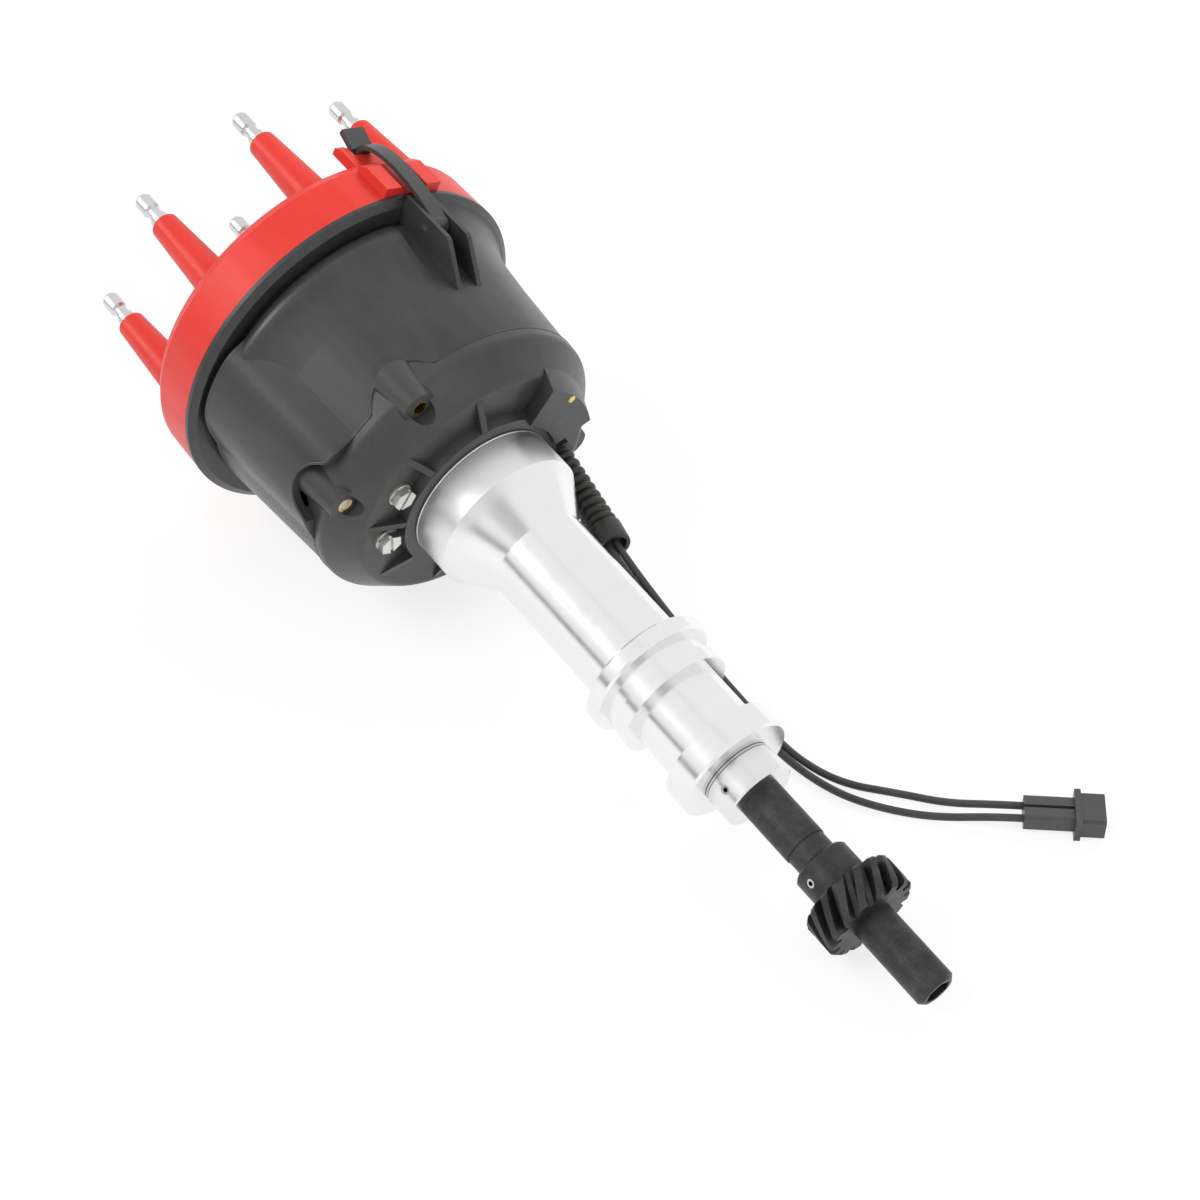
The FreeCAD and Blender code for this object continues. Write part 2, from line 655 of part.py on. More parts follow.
def bowl_base():
    inner = BOWL_R - BOWL_WALL
    gusset = slab([(BOWL_HUB_R - 1.0, HEAD_TOP_Z + 0.1), (BOWL_HUB_R + 1.0, HEAD_TOP_Z + 0.2),
                   (BOWL_FLAT_R - 2.0, BOWL_FLOOR_LOW_Z - 0.05),
                   (BOWL_FLAT_R - 2.0, BOWL_FLOOR_LOW_Z + 0.6),
                   (BOWL_HUB_R - 1.0, BOWL_FLOOR_LOW_Z + 0.6)], GUSSET_THICK)
    pad = sector([(BOWL_HUB_R - 1.5, BOWL_FLOOR_TOP_Z - 0.5), (BOWL_HUB_R - 1.5, PAD_LOW_Z),
                  (PAD_R, PAD_LOW_Z), (PAD_R + PAD_SLANT, BOWL_FLOOR_TOP_Z - 0.5)],
                 PAD_FROM, PAD_TO)
    turn_in = math.degrees(PAD_WALL / PAD_R)
    pocket = sector([(BOWL_HUB_R + 1.5, BOWL_FLOOR_TOP_Z + 1),
                     (BOWL_HUB_R + 1.5, PAD_LOW_Z + PAD_WALL),
                     (PAD_R - PAD_WALL, PAD_LOW_Z + PAD_WALL),
                     (PAD_R - PAD_WALL, BOWL_FLOOR_TOP_Z + 1)],
                    PAD_FROM + turn_in, PAD_TO - turn_in)
    whole_boss = boss_form()
    boss = whole_boss.common(disc(BOWL_R + BOSS_FOOT_R, BOSS_LOW_Z, SEAM_Z))
    stem = whole_boss.common(disc(inner, SEAM_Z - 1, BOSS_TOP_Z))
    outer_dome = whole_boss.common(ring(BOWL_R + BOSS_FOOT_R, inner, SEAM_Z,
                                        SEAM_Z + ARCH_RISE))
    outer_dome = outer_dome.common(arch_prism(inner - SPIGOT_WALL, BOWL_R + BOSS_FOOT_R))
    tongue = arch_prism(inner - SPIGOT_WALL, BOWL_R + 1.0).common(
        ring(BOWL_R, inner, SEAM_Z - 1, SEAM_Z + ARCH_RISE + 1))
    one_boss = joined([boss, stem, outer_dome, tongue])
    floor_hole = hex_screw_axis(HEAD_TOP_Z, BOWL_FLOOR_TOP_Z + 1, HEX_SCREW_R + EASY)
    head_hole = rod(Vector(HEAD_SCREW_CIRCLE_R, 0, HEAD_TOP_Z - 1),
                    Vector(HEAD_SCREW_CIRCLE_R, 0, BOWL_FLOOR_TOP_Z + 1), HEX_SCREW_R + EASY)
    port = rod(polar(BOOT_CIRCLE_R, BOOT_ANGLE, HEAD_TOP_Z),
               polar(BOOT_CIRCLE_R, BOOT_ANGLE, BOWL_FLOOR_TOP_Z + 1), BOOT_NECK_R)
    port_recess = turn(boot_hexagon(BOOT_HEX_AF + 2 * SLIP, HEAD_TOP_Z - 1, BOWL_FLOOR_LOW_Z),
                       BOOT_ANGLE)
    spot = boss_screw_hole(BOWL_FLOOR_LOW_Z - 1, BOSS_LOW_Z, BOSS_SPOT_R)
    insert_hole = boss_screw_hole(BOSS_LOW_Z - 1, BOSS_LOW_Z + INSERT_LENGTH, INSERT_R)
    thread_hole = boss_screw_hole(BOSS_LOW_Z, SEAM_Z + ARCH_RISE + 1, BOSS_SCREW_R + EASY)
    body = joined([bowl_shell(), pad] + around(gusset, GUSSET_COUNT, GUSSET_ANGLE)
                  + at_angles(one_boss, BOSS_ANGLES))
    cuts = [pocket, port, port_recess]
    cuts += at_angles(floor_hole, HEX_SCREW_ANGLES)
    cuts += around(head_hole, HEAD_SCREW_COUNT, HEAD_SCREW_ANGLE)
    cuts += at_angles(spot, BOSS_ANGLES)
    cuts += at_angles(insert_hole, BOSS_ANGLES) + at_angles(thread_hole, BOSS_ANGLES)
    return without(body, cuts)


def threaded_inserts():
    one = boss_screw_hole(BOSS_LOW_Z, BOSS_LOW_Z + INSERT_LENGTH, INSERT_R).cut(
        boss_screw_hole(BOSS_LOW_Z - 1, BOSS_LOW_Z + INSERT_LENGTH + 1, BOSS_SCREW_R))
    return Part.makeCompound(at_angles(one, BOSS_ANGLES))


def lug_seat_z():
    return LUG_TOP_Z - PAN_HEAD_HEIGHT


def adapter_screws():
    shank = boss_screw_hole(BOSS_LOW_Z + 0.3, lug_seat_z(), BOSS_SCREW_R)
    head = boss_screw_hole(lug_seat_z(), LUG_TOP_Z, PAN_HEAD_R)
    return Part.makeCompound(at_angles(joined([shank, head]), SCREWED_BOSSES))


def lobe(low, high, inset):
    # the bulge on the adapter's side, drawn at its foot and at its top
    sections = []
    for z, out in ((low, LOBE_OUT_LOW), (high, LOBE_OUT_TOP)):
        base = seam_face_r(z) - inset
        start = LOBE_FOOT_FROM - inset
        end = LOBE_FOOT_TO + inset
        line = []
        for share, rise in LOBE_OUTLINE:
            line.append(polar(base - 0.6 + (out + 0.6) * rise, start + (end - start) * share, z))
        curve = Part.BSplineCurve()
        curve.interpolate(line)
        middle = polar(base - 9.0, 0.5 * (start + end), z)
        sides = [Part.makeLine(line[-1], middle), Part.makeLine(middle, line[0])]
        sections.append(Part.Wire([curve.toShape()] + sides))
    return Part.makeLoft(sections, True, True)


def ear(offset):
    inner = PIVOT_R - 6.0
    plate_shape = slab([(inner, RIM_LOW_Z + 0.5), (seam_face_r(EAR_ROOT_Z) - 1.5, EAR_ROOT_Z),
                        (EAR_R - 0.6, EAR_CORNER_Z - 1.4), (EAR_R, EAR_CORNER_Z),
                        (EAR_R, RIM_LOW_Z + 0.5)], EAR_THICK)
    plate_shape.translate(Vector(0, offset, 0))
    return plate_shape


def pivot_axis(r, half):
    return rod(Vector(PIVOT_R, -half, PIVOT_Z), Vector(PIVOT_R, half, PIVOT_Z), r)


def latch_slot_half():
    return LATCH_WIDTH / 2.0 + SLIP


def cap_adapter():
    wall = ADAPTER_WALL
    cone = turned([(0, SEAM_Z), (seam_face_r(SEAM_Z), SEAM_Z), (seam_face_r(NECK_Z), NECK_Z),
                   (seam_face_r(NECK_Z) - NECK_STEP, NECK_Z + 1.2),
                   (seam_face_r(NECK_Z) - NECK_STEP, RIM_LOW_Z),
                   (RIM_R - RIM_SLANT, RIM_LOW_Z), (RIM_R, RIM_TOP_Z - RIM_EDGE),
                   (RIM_R, RIM_TOP_Z), (LIP_R, RIM_TOP_Z), (LIP_R, LIP_TOP_Z), (0, LIP_TOP_Z)])
    spigot_r = BOWL_R - BOWL_WALL
    hollow = turned([(0, SEAM_Z - 1), (spigot_r, SEAM_Z - 1),
                     (spigot_r, SEAM_Z + SPIGOT_HEIGHT), (seam_face_r(NECK_Z - 4) - wall, NECK_Z - 4),
                     (seam_face_r(NECK_Z) - NECK_STEP - wall + 0.6, NECK_Z + 1),
                     (seam_face_r(NECK_Z) - NECK_STEP - wall + 0.6, RIM_LOW_Z + 0.6),
                     (LIP_R - LIP_WALL, RIM_LOW_Z + 2.0), (LIP_R - LIP_WALL, LIP_TOP_Z + 1),
                     (0, LIP_TOP_Z + 1)])
    room = hollow.fuse(lobe(SEAM_Z + SPIGOT_HEIGHT, NECK_Z - 2.5, wall))
    solid = cone.fuse(lobe(SEAM_Z, NECK_Z, 0.0))
    shell = solid.cut(room)
    lug = joined([
        rod(Vector(BOSS_CIRCLE_R - 1.2, 0, BOSS_TOP_Z), Vector(BOSS_CIRCLE_R - 1.2, 0, LUG_TOP_Z),
            LUG_R),
        block(BOSS_CIRCLE_R - 1.2, CONE_TOP_R + LOBE_OUT_TOP, 2 * LUG_R, BOSS_TOP_Z, LUG_TOP_Z)])
    lugs = [one.common(solid) for one in at_angles(lug, BOSS_ANGLES)]
    notch = arch_prism(spigot_r - SPIGOT_WALL, BOWL_R + 12.0)
    head_room = boss_screw_hole(lug_seat_z(), LUG_TOP_Z + 3, PAN_HEAD_R + EASY)
    screw_room = boss_screw_hole(BOSS_TOP_Z - 1, LUG_TOP_Z, BOSS_SCREW_R + EASY)
    half = latch_slot_half()
    slot = block(RIM_R - 1.9, RIM_R + 4, 2 * half, EAR_ROOT_Z, RIM_TOP_Z + 1)
    offset = half + EAR_THICK / 2.0
    ears = []
    for angle in (LATCH_ANGLE, LATCH_ANGLE + 180.0):
        ears += [turn(ear(offset), angle), turn(ear(-offset), angle)]
    body = joined([shell] + lugs + ears)
    pivots = turn(pivot_axis(PIVOT_PIN_R, offset + EAR_THICK), LATCH_ANGLE)
    cuts = at_angles(notch, BOSS_ANGLES) + at_angles(head_room, SCREWED_BOSSES)
    cuts += at_angles(screw_room, BOSS_ANGLES)
    cuts += [turn(slot, LATCH_ANGLE), turn(slot, LATCH_ANGLE + 180.0)]
    cuts += [pivots, turn(pivots, 180.0)]
    return without(body, cuts)


def latch_pin(angle):
    half = latch_slot_half() + EAR_THICK
    return turn(pivot_axis(PIVOT_PIN_R, half), angle)


def strip(points, thick, width):
    # a strip of even thickness, bent along a smooth outer line
    inner = []
    for before, here, after in zip([points[0]] + points, points, points[1:] + [points[-1]]):
        way = Vector(after[0] - before[0], 0, after[1] - before[1]).normalize()
        inner.append((here[0] - way.z * thick, here[1] + way.x * thick))
    lines = []
    for side in (points, inner[::-1]):
        curve = Part.BSplineCurve()
        curve.interpolate([Vector(r, -width / 2.0, z) for r, z in side])
        lines.append(curve.toShape())
    ends = [Part.makeLine(lines[0].Vertexes[-1].Point, lines[1].Vertexes[0].Point),
            Part.makeLine(lines[1].Vertexes[-1].Point, lines[0].Vertexes[0].Point)]
    outline = Part.Wire([lines[0], ends[0], lines[1], ends[1]])
    return Part.Face(outline).extrude(Vector(0, width, 0))


def latch_strap(angle):
    # a bowed strap hinged in the adapter's ears, hooked over the saddle of the cap
    hook = LATCH_HOOK_Z
    foot_r = PIVOT_R + EYE_R - 0.1
    line = [(foot_r, PIVOT_Z), (foot_r + 0.6 * (LATCH_R - foot_r), RIM_LOW_Z - 3.0),
            (LATCH_R - 0.4, RIM_TOP_Z + 1.6), (LATCH_R, LATCH_BOW_Z),
            (LATCH_R - 0.7, hook - 9.4), (LATCH_R - 2.6, hook - 3.4),
            (LATCH_R - 5.0, hook - 0.6), (LATCH_HOOK_TIP_R + 1.6, hook), (LATCH_HOOK_TIP_R, hook)]
    bar = strip(line, LATCH_THICK, LATCH_WIDTH)
    lean = 3.0
    tab = slab([(LATCH_HOOK_TIP_R, hook - LATCH_THICK + 0.2),
                (LATCH_HOOK_TIP_R + TAB_THICK, hook - LATCH_THICK + 0.2),
                (LATCH_HOOK_TIP_R + TAB_THICK + lean, TAB_TOP_Z - 0.6),
                (LATCH_HOOK_TIP_R + lean, TAB_TOP_Z)], TAB_WIDTH)
    wings = block(0, LATCH_R, TAB_WIDTH, hook - 0.3, TAB_TOP_Z + 1)
    middle = block(0, LATCH_R, LATCH_WIDTH, hook - LATCH_THICK, TAB_TOP_Z + 1)
    tab = tab.common(wings.fuse(middle))
    strap = joined([bar, pivot_axis(EYE_R, LATCH_WIDTH / 2.0), tab])
    return turn(without(strap, [pivot_axis(PIVOT_PIN_R + RUN_FIT, LATCH_WIDTH)]), angle)


def tower(top_z):
    body = taper(Vector(0, 0, CREASE_Z - 2), Vector(0, 0, top_z), TOWER_BASE_R, TOWER_TOP_R)
    return body.makeFillet(TOWER_EDGE, circle_edges(body, TOWER_TOP_R, top_z))


def saddle():
    # two guides on the skirt, two posts on the crown, and the ledge under the hook
    pieces = []
    for side in (-1, 1):
        guide = slab([(SKIRT_TOP_R - 2.0, RIM_TOP_Z + 0.2), (GUIDE_R, RIM_TOP_Z + 0.2),
                      (GUIDE_R, GUIDE_TOP_Z - 3.0), (GUIDE_R - 1.6, GUIDE_TOP_Z),
                      (SKIRT_TOP_R - 2.0, GUIDE_TOP_Z)], GUIDE_WIDTH)
        guide.translate(Vector(0, side * (GUIDE_GAP + GUIDE_WIDTH / 2.0), 0))
        post = slab([(POST_INNER_R, CREASE_Z - 2), (POST_OUTER_R, CREASE_Z - 2),
                     (POST_OUTER_R, POST_TOP_Z - 2.5), (POST_OUTER_R - 1.2, POST_TOP_Z),
                     (POST_INNER_R, POST_TOP_Z)], POST_WIDTH)
        post.translate(Vector(0, side * (POST_GAP + POST_WIDTH / 2.0), 0))
        pieces += [guide, post]
    gap = POST_GAP + 0.5
    ledge = block(POST_INNER_R, POST_OUTER_R - 0.4, 2 * gap, CREASE_Z - 2, LEDGE_TOP_Z)
    return joined(pieces + [ledge])


def roof_z(r):
    # underside of the cap's crown at one radius
    return CREASE_Z - CAP_WALL + (CROWN_Z - CREASE_Z) * (1.0 - r / CREASE_R)


def distributor_cap():
    low = RIM_TOP_Z
    outer = turned([(0, low), (SKIRT_LOW_R, low), (SKIRT_TOP_R, SKIRT_TOP_Z),
                    (CREASE_R + 1.4, CREASE_Z - 0.9), (CREASE_R, CREASE_Z), (0, CROWN_Z)])
    lip = LIP_R + RUN_FIT
    room = turned([(0, low - 1), (lip, low - 1), (lip, LIP_TOP_Z + 0.3),
                   (SKIRT_TOP_R - CAP_WALL, LIP_TOP_Z + 1.0),
                   (SKIRT_TOP_R - CAP_WALL, SKIRT_TOP_Z - 2.0),
                   (CREASE_R - CAP_WALL, CREASE_Z - CAP_WALL), (0, CROWN_Z - CAP_WALL)])
    shell = outer.cut(room)
    plug_tower = tower(TOWER_TOP_Z)
    plug_tower.translate(Vector(TOWER_CIRCLE_R, 0, 0))
    inner_boss = rod(Vector(TOWER_CIRCLE_R, 0, ELECTRODE_LOW_Z + ELECTRODE_HEIGHT - 0.6),
                     Vector(TOWER_CIRCLE_R, 0, CREASE_Z - 1), CAP_BOSS_R)
    inner_boss = inner_boss.common(disc(SKIRT_TOP_R - 1.0, low, CREASE_Z))
    rib = slab([(TOWER_TOP_R, CROWN_Z - 1), (TOWER_CIRCLE_R, CREASE_Z - 1),
                (TOWER_CIRCLE_R, CREASE_Z + RIB_RISE), (TOWER_TOP_R, CROWN_Z + RIB_RISE)],
               RIB_THICK)
    brush_boss = disc(BRUSH_BOSS_R, BRUSH_BOSS_LOW_Z, CROWN_Z)
    body = joined([shell, tower(COIL_TOWER_TOP_Z), brush_boss]
                  + around(plug_tower, TOWER_COUNT, TOWER_ANGLE)
                  + around(inner_boss, TOWER_COUNT, TOWER_ANGLE)
                  + around(rib, TOWER_COUNT, TOWER_ANGLE)
                  + [turn(saddle(), LATCH_ANGLE), turn(saddle(), LATCH_ANGLE + 180.0)])
    rod_hole = rod(Vector(TOWER_CIRCLE_R, 0, low), Vector(TOWER_CIRCLE_R, 0, TOWER_TOP_Z + 1),
                   ROD_R)
    electrode_room = electrode_block(0.0)
    brush_bore = disc(BRUSH_R + RUN_FIT, low, BRUSH_BORE_TOP_Z)
    coil_hole = disc(ROD_R, BRUSH_BORE_TOP_Z - 1, COIL_TOWER_TOP_Z + 1)
    return without(body, around(rod_hole, TOWER_COUNT, TOWER_ANGLE)
                   + around(electrode_room, TOWER_COUNT, TOWER_ANGLE)
                   + [brush_bore, coil_hole])


def electrode_block(grow):
    return block(ELECTRODE_FACE_R, TOWER_CIRCLE_R + ROD_R + 0.6, ELECTRODE_WIDTH + grow,
                 ELECTRODE_LOW_Z, ELECTRODE_LOW_Z + ELECTRODE_HEIGHT)


def stud(low):
    # the exposed post: a collar, a neck and a rounded head
    neck_z = low + STUD_COLLAR
    head_z = neck_z + STUD_NECK
    top = low + STUD_LENGTH
    return turned([(0, low), (STUD_R, low), (STUD_R, neck_z - 0.6), (STUD_NECK_R, neck_z),
                   (STUD_NECK_R, head_z - 0.6), (STUD_R, head_z + 0.4), (STUD_R, top - 1.6),
                   (STUD_R - 0.7, top - 0.5), (STUD_R - 1.8, top), (0, top)])


def plug_terminals():
    post = stud(TOWER_TOP_Z)
    post.translate(Vector(TOWER_CIRCLE_R, 0, 0))
    core = rod(Vector(TOWER_CIRCLE_R, 0, ELECTRODE_LOW_Z + 0.5),
               Vector(TOWER_CIRCLE_R, 0, TOWER_TOP_Z), ROD_R)
    one = joined([post, core, electrode_block(0.0)])
    return Part.makeCompound(around(one, TOWER_COUNT, TOWER_ANGLE))


def coil_terminal():
    core = disc(ROD_R, BRUSH_BORE_TOP_Z, COIL_TOWER_TOP_Z)
    return joined([stud(COIL_TOWER_TOP_Z), core])


def brush_low_z():
    return ROTOR_BUTTON_TOP_Z + 0.05


def carbon_brush():
    body = disc(BRUSH_R, brush_low_z(), BRUSH_TOP_Z)
    return body.makeFillet(0.5, circle_edges(body, BRUSH_R, brush_low_z()))


def wound_body(r_out, wire_r, low, high, turns):
    # a wound spring, each turn shown as one rib
    pitch = (high - low) / turns
    outer = []
    for k in range(turns):
        outer += [(r_out - 0.6 * wire_r, low + k * pitch), (r_out, low + (k + 0.5) * pitch)]
    outer.append((r_out - 0.6 * wire_r, high))
    r_in = r_out - 2.0 * wire_r
    return turned(outer + [(r_in, high), (r_in, low)])


def brush_spring():
    return wound_body(BRUSH_SPRING_R, BRUSH_WIRE_R, BRUSH_TOP_Z, BRUSH_BORE_TOP_Z, 7)


def advance_sleeve():
    return ring(SLEEVE_R, SHAFT_NOSE_R + RUN_FIT, SHAFT_NOSE_Z + END_PLAY, SLEEVE_TOP_Z)


def reluctor():
    top = RELUCTOR_LOW_Z + RELUCTOR_HEIGHT
    hub = ring(RELUCTOR_HUB_R, SLEEVE_R, RELUCTOR_LOW_Z, top)
    paddle = block(RELUCTOR_HUB_R - 1.0, RELUCTOR_R + 1, RELUCTOR_PADDLE_WIDTH, RELUCTOR_LOW_Z,
                   top)
    paddles = around(paddle, RELUCTOR_PADDLES, PICKUP_ANGLE + 180.0 / RELUCTOR_PADDLES)
    return joined([hub] + paddles).common(disc(RELUCTOR_R, RELUCTOR_LOW_Z, top))


def plate_top():
    return PLATE_LOW_Z + PLATE_THICK


def stop_slot():
    # the arc slot that limits the advance, counted from the bushing's rest place
    low = PLATE_LOW_Z - 1
    high = plate_top() + 1
    half = STOP_BUSHING_R + SLIP
    last = STOP_ANGLE - ADVANCE_RANGE
    pieces = [sector([(STOP_CIRCLE_R - half, low), (STOP_CIRCLE_R + half, low),
                      (STOP_CIRCLE_R + half, high), (STOP_CIRCLE_R - half, high)],
                     last, STOP_ANGLE)]
    for angle in (last, STOP_ANGLE):
        pieces.append(rod(polar(STOP_CIRCLE_R, angle, low), polar(STOP_CIRCLE_R, angle, high), half))
    return joined(pieces)


def weight_plate():
    low = PLATE_LOW_Z
    top = plate_top()
    middle = 0.5 * (WEIGHT_PIN_ANGLE + ROTOR_LEG_ANGLE)
    bar = block(-PLATE_R - 1, PLATE_R + 1, PLATE_WIDTH, low - 1, top + 1)
    body = disc(PLATE_R, low, top).common(turn(bar, middle))
    tapped = rod(Vector(ROTOR_LEG_CIRCLE_R, 0, low - 1), Vector(ROTOR_LEG_CIRCLE_R, 0, top + 1),
                 ROTOR_SCREW_R)
    cuts = [disc(SLEEVE_R, low - 1, SLEEVE_TOP_Z), disc(SHAFT_NOSE_R + SLIP, low - 1, top + 1)]
    cuts += around(stop_slot(), 2, WEIGHT_PIN_ANGLE) + around(tapped, 2, ROTOR_LEG_ANGLE)
    return without(body, cuts)


def weight_low():
    return plate_top() + SLIP / 2.0


def weight_pins():
    top = weight_low() + WEIGHT_THICK + WEIGHT_PIN_RISE
    x = WEIGHT_PIN_CIRCLE_R
    pin = joined([rod(Vector(x, 0, plate_top()), Vector(x, 0, top), WEIGHT_PIN_R),
                  rod(Vector(x, 0, top - 0.8), Vector(x, 0, top), WEIGHT_PIN_R + 0.6)])
    return Part.makeCompound(around(pin, 2, WEIGHT_PIN_ANGLE))


def advance_weight(which):
    # a crescent of steel that swings out about its pin, with a nose against the cam
    low = weight_low()
    top = low + WEIGHT_THICK
    x = WEIGHT_PIN_CIRCLE_R
    tail = WEIGHT_TAIL_ANGLE
    arc = sector([(WEIGHT_INNER_R, low), (WEIGHT_SLIM_R, low), (WEIGHT_SLIM_R, top),
                  (WEIGHT_INNER_R, top)], tail, 0.0)
    heavy = sector([(WEIGHT_INNER_R, low), (WEIGHT_OUTER_R, low), (WEIGHT_OUTER_R, top),
                    (WEIGHT_INNER_R, top)], tail, tail + WEIGHT_HEAVY_ARC)
    head = rod(Vector(x, 0, low), Vector(x, 0, top), WEIGHT_HEAD_R)
    nose = rod(Vector(NOSE_X, NOSE_Y, low), Vector(NOSE_X, NOSE_Y, top), NOSE_R)
    way = Vector(x - NOSE_X, -NOSE_Y, 0).normalize()
    side = Vector(-way.y, way.x, 0) * NOSE_R
    start = Vector(NOSE_X, NOSE_Y, 0)
    end = Vector(x, 0, 0)
    corners = [start.add(side), start.sub(side), end.sub(side * 2.4), end.add(side * 2.4)]
    neck = plate([(c.x, c.y) for c in corners], low, top)
    body = joined([arc, heavy, head, nose, neck])
    bore = rod(Vector(x, 0, low - 1), Vector(x, 0, top + 1), WEIGHT_PIN_R + RUN_FIT)
    return turn(without(body, [bore]), WEIGHT_PIN_ANGLE + 180.0 * which)


def nose_place(advance):
    # where the nose stands, seen from the shaft, once the sleeve is ahead by this much
    pin = polar(WEIGHT_PIN_CIRCLE_R, advance)
    swing = Rotation(AXIS, advance * (1.0 + WEIGHT_RATIO))
    return pin.add(swing.multVec(Vector(NOSE_X - WEIGHT_PIN_CIRCLE_R, NOSE_Y, 0)))


def cam_lobe(low, top):
    # the face under the nose follows the nose's own path, one nose radius below it
    steps = 4
    drop = NOSE_R + CAM_GAP
    path = [nose_place(ADVANCE_RANGE * k / steps) for k in range(steps + 1)]
    face = [(NOSE_X - 4.0, NOSE_Y - drop)]
    for before, here in zip(path, path[1:]):
        way = here.sub(before).normalize()
        face.append((before.x + way.y * drop, before.y - way.x * drop))
    last = path[-1]
    face.append((last.x + way.y * drop, last.y - way.x * drop))
    face.append((CAM_LOBE_REACH, last.y - drop + (CAM_LOBE_REACH - last.x) * way.y / way.x))
    face += [(CAM_LOBE_REACH - 0.6, SPRING_POST_Y - 0.7), (SPRING_POST_X, SPRING_POST_Y - 2.6),
             (4.0, -CAM_R + 1.0)]
    return plate(face, low, top)


def cam_plate():
    # the shaft's own centre piece, with two lobes, two spring posts and two stop pins
    low = weight_low()
    top = low + CAM_THICK
    lobe_shape = cam_lobe(low, top)
    post = rod(Vector(SPRING_POST_X, SPRING_POST_Y, top - 1),
               Vector(SPRING_POST_X, SPRING_POST_Y, top + 3.4), SPRING_POST_R)
    arm = turn(block(0, STOP_CIRCLE_R + STOP_PIN_R + 0.4, 4.6, top - 3.0, top), STOP_ANGLE)
    pin = rod(polar(STOP_CIRCLE_R, STOP_ANGLE, PLATE_LOW_Z - 0.6),
              polar(STOP_CIRCLE_R, STOP_ANGLE, top - 1.0), STOP_PIN_R)
    side = [lobe_shape, post, arm, pin]
    opposite = [turn(shape, 180.0) for shape in side]
    body = joined([disc(CAM_R, low, top)] + side + opposite)
    return turn(without(body, [disc(SHAFT_NOSE_R, low - 1, top + 1)]), WEIGHT_PIN_ANGLE)


def stop_bushings():
    low = PLATE_LOW_Z - 0.4
    high = plate_top() + 0.8
    foot = polar(STOP_CIRCLE_R, STOP_ANGLE, low)
    tip = polar(STOP_CIRCLE_R, STOP_ANGLE, high)
    one = rod(foot, tip, STOP_BUSHING_R).cut(rod(foot, tip, STOP_PIN_R))
    return Part.makeCompound(around(one, 2, WEIGHT_PIN_ANGLE))


def cam_nut():
    low = weight_low() + CAM_THICK
    nut = hexagon(NUT_AF, low, low + NUT_HEIGHT)
    return without(nut, [disc(SHAFT_NOSE_R, low - 1, low + NUT_HEIGHT + 1)])


def advance_spring(which):
    # a small pull spring from the weight's pin to the post on the cam
    z = weight_low() + WEIGHT_THICK + SPRING_COIL_R + 0.2
    pin = Vector(WEIGHT_PIN_CIRCLE_R, 0, z)
    post = Vector(SPRING_POST_X, SPRING_POST_Y, z)
    along = post.sub(pin).normalize()
    start = pin.add(along * (WEIGHT_PIN_R + 1.4))
    end = post.sub(along * (SPRING_POST_R + 1.4))
    length = end.sub(start).Length
    coil = wound_body(SPRING_COIL_R, SPRING_WIRE_R, 0, length, 7)
    coil.Placement = Placement(start, Rotation(AXIS, along)).multiply(coil.Placement)
    pieces = []
    for place, r, way in ((pin, WEIGHT_PIN_R, along), (post, SPRING_POST_R, along * -1.0)):
        eye = ring(r + 0.95, r + 0.05, z - SPRING_WIRE_R, z + SPRING_WIRE_R)
        eye.translate(Vector(place.x, place.y, 0))
        end_cap = place.add(way * (r + 1.5))
        pieces += [eye, rod(place.add(way * (r + 0.5)), end_cap, 0.8 * SPRING_WIRE_R),
                   rod(end_cap, end_cap.add(way * 0.8), SPRING_COIL_R - 0.25)]
    return turn(coil.fuse(pieces), WEIGHT_PIN_ANGLE + 180.0 * which)


def rotor_body():
    low = ROTOR_DISC_LOW_Z
    top = low + ROTOR_DISC_THICK
    arm_low = ROTOR_TOP_Z - ROTOR_ARM_THICK
    base = disc(ROTOR_DISC_R, low, top)
    leg = rod(Vector(ROTOR_LEG_CIRCLE_R, 0, plate_top()), Vector(ROTOR_LEG_CIRCLE_R, 0, low + 1),
              ROTOR_LEG_R)
    legs = around(leg, 2, ROTOR_LEG_ANGLE)
    stem = taper(Vector(0, 0, top - 1), Vector(0, 0, ROTOR_TOP_Z), ROTOR_STEM_R, ROTOR_STEM_TOP_R)
    arm = turn(block(0, ROTOR_ARM_R, ROTOR_ARM_WIDTH, arm_low, ROTOR_TOP_Z), ROTOR_ARM_ANGLE)
    web = turn(slab([(0, top - 0.5), (ROTOR_STEM_R + 5.0, top - 0.5), (ROTOR_ARM_R - 8, arm_low + 0.5),
                     (0, arm_low + 0.5)], 3.0), ROTOR_ARM_ANGLE)
    tail = turn(block(-17.0, 0, ROTOR_ARM_WIDTH, arm_low, ROTOR_TOP_Z), ROTOR_ARM_ANGLE)
    screw_hole = rod(Vector(ROTOR_LEG_CIRCLE_R, 0, low - 20), Vector(ROTOR_LEG_CIRCLE_R, 0, top + 1),
                     ROTOR_SCREW_R + EASY)
    pocket = turned([(0, low - 1), (SHAFT_NOSE_R + 1.5, low - 1), (SHAFT_NOSE_R + 1.5, low + 1.5),
                     (0, low + 1.5)])
    body = joined([base] + legs + [stem, arm, web, tail])
    return without(body, around(screw_hole, 2, ROTOR_LEG_ANGLE) + [pocket])


def rotor_contact():
    low = ROTOR_TOP_Z
    blade = block(0, ROTOR_TIP_R, ROTOR_TIP_WIDTH, low, low + ROTOR_BLADE)
    blade = turn(blade.common(disc(ROTOR_TIP_R, low, low + ROTOR_BLADE)), ROTOR_ARM_ANGLE)
    middle = disc(ROTOR_TIP_WIDTH / 2.0, low, low + ROTOR_BLADE)
    button = disc(ROTOR_BUTTON_R, low, ROTOR_BUTTON_TOP_Z)
    return joined([blade, middle, button])


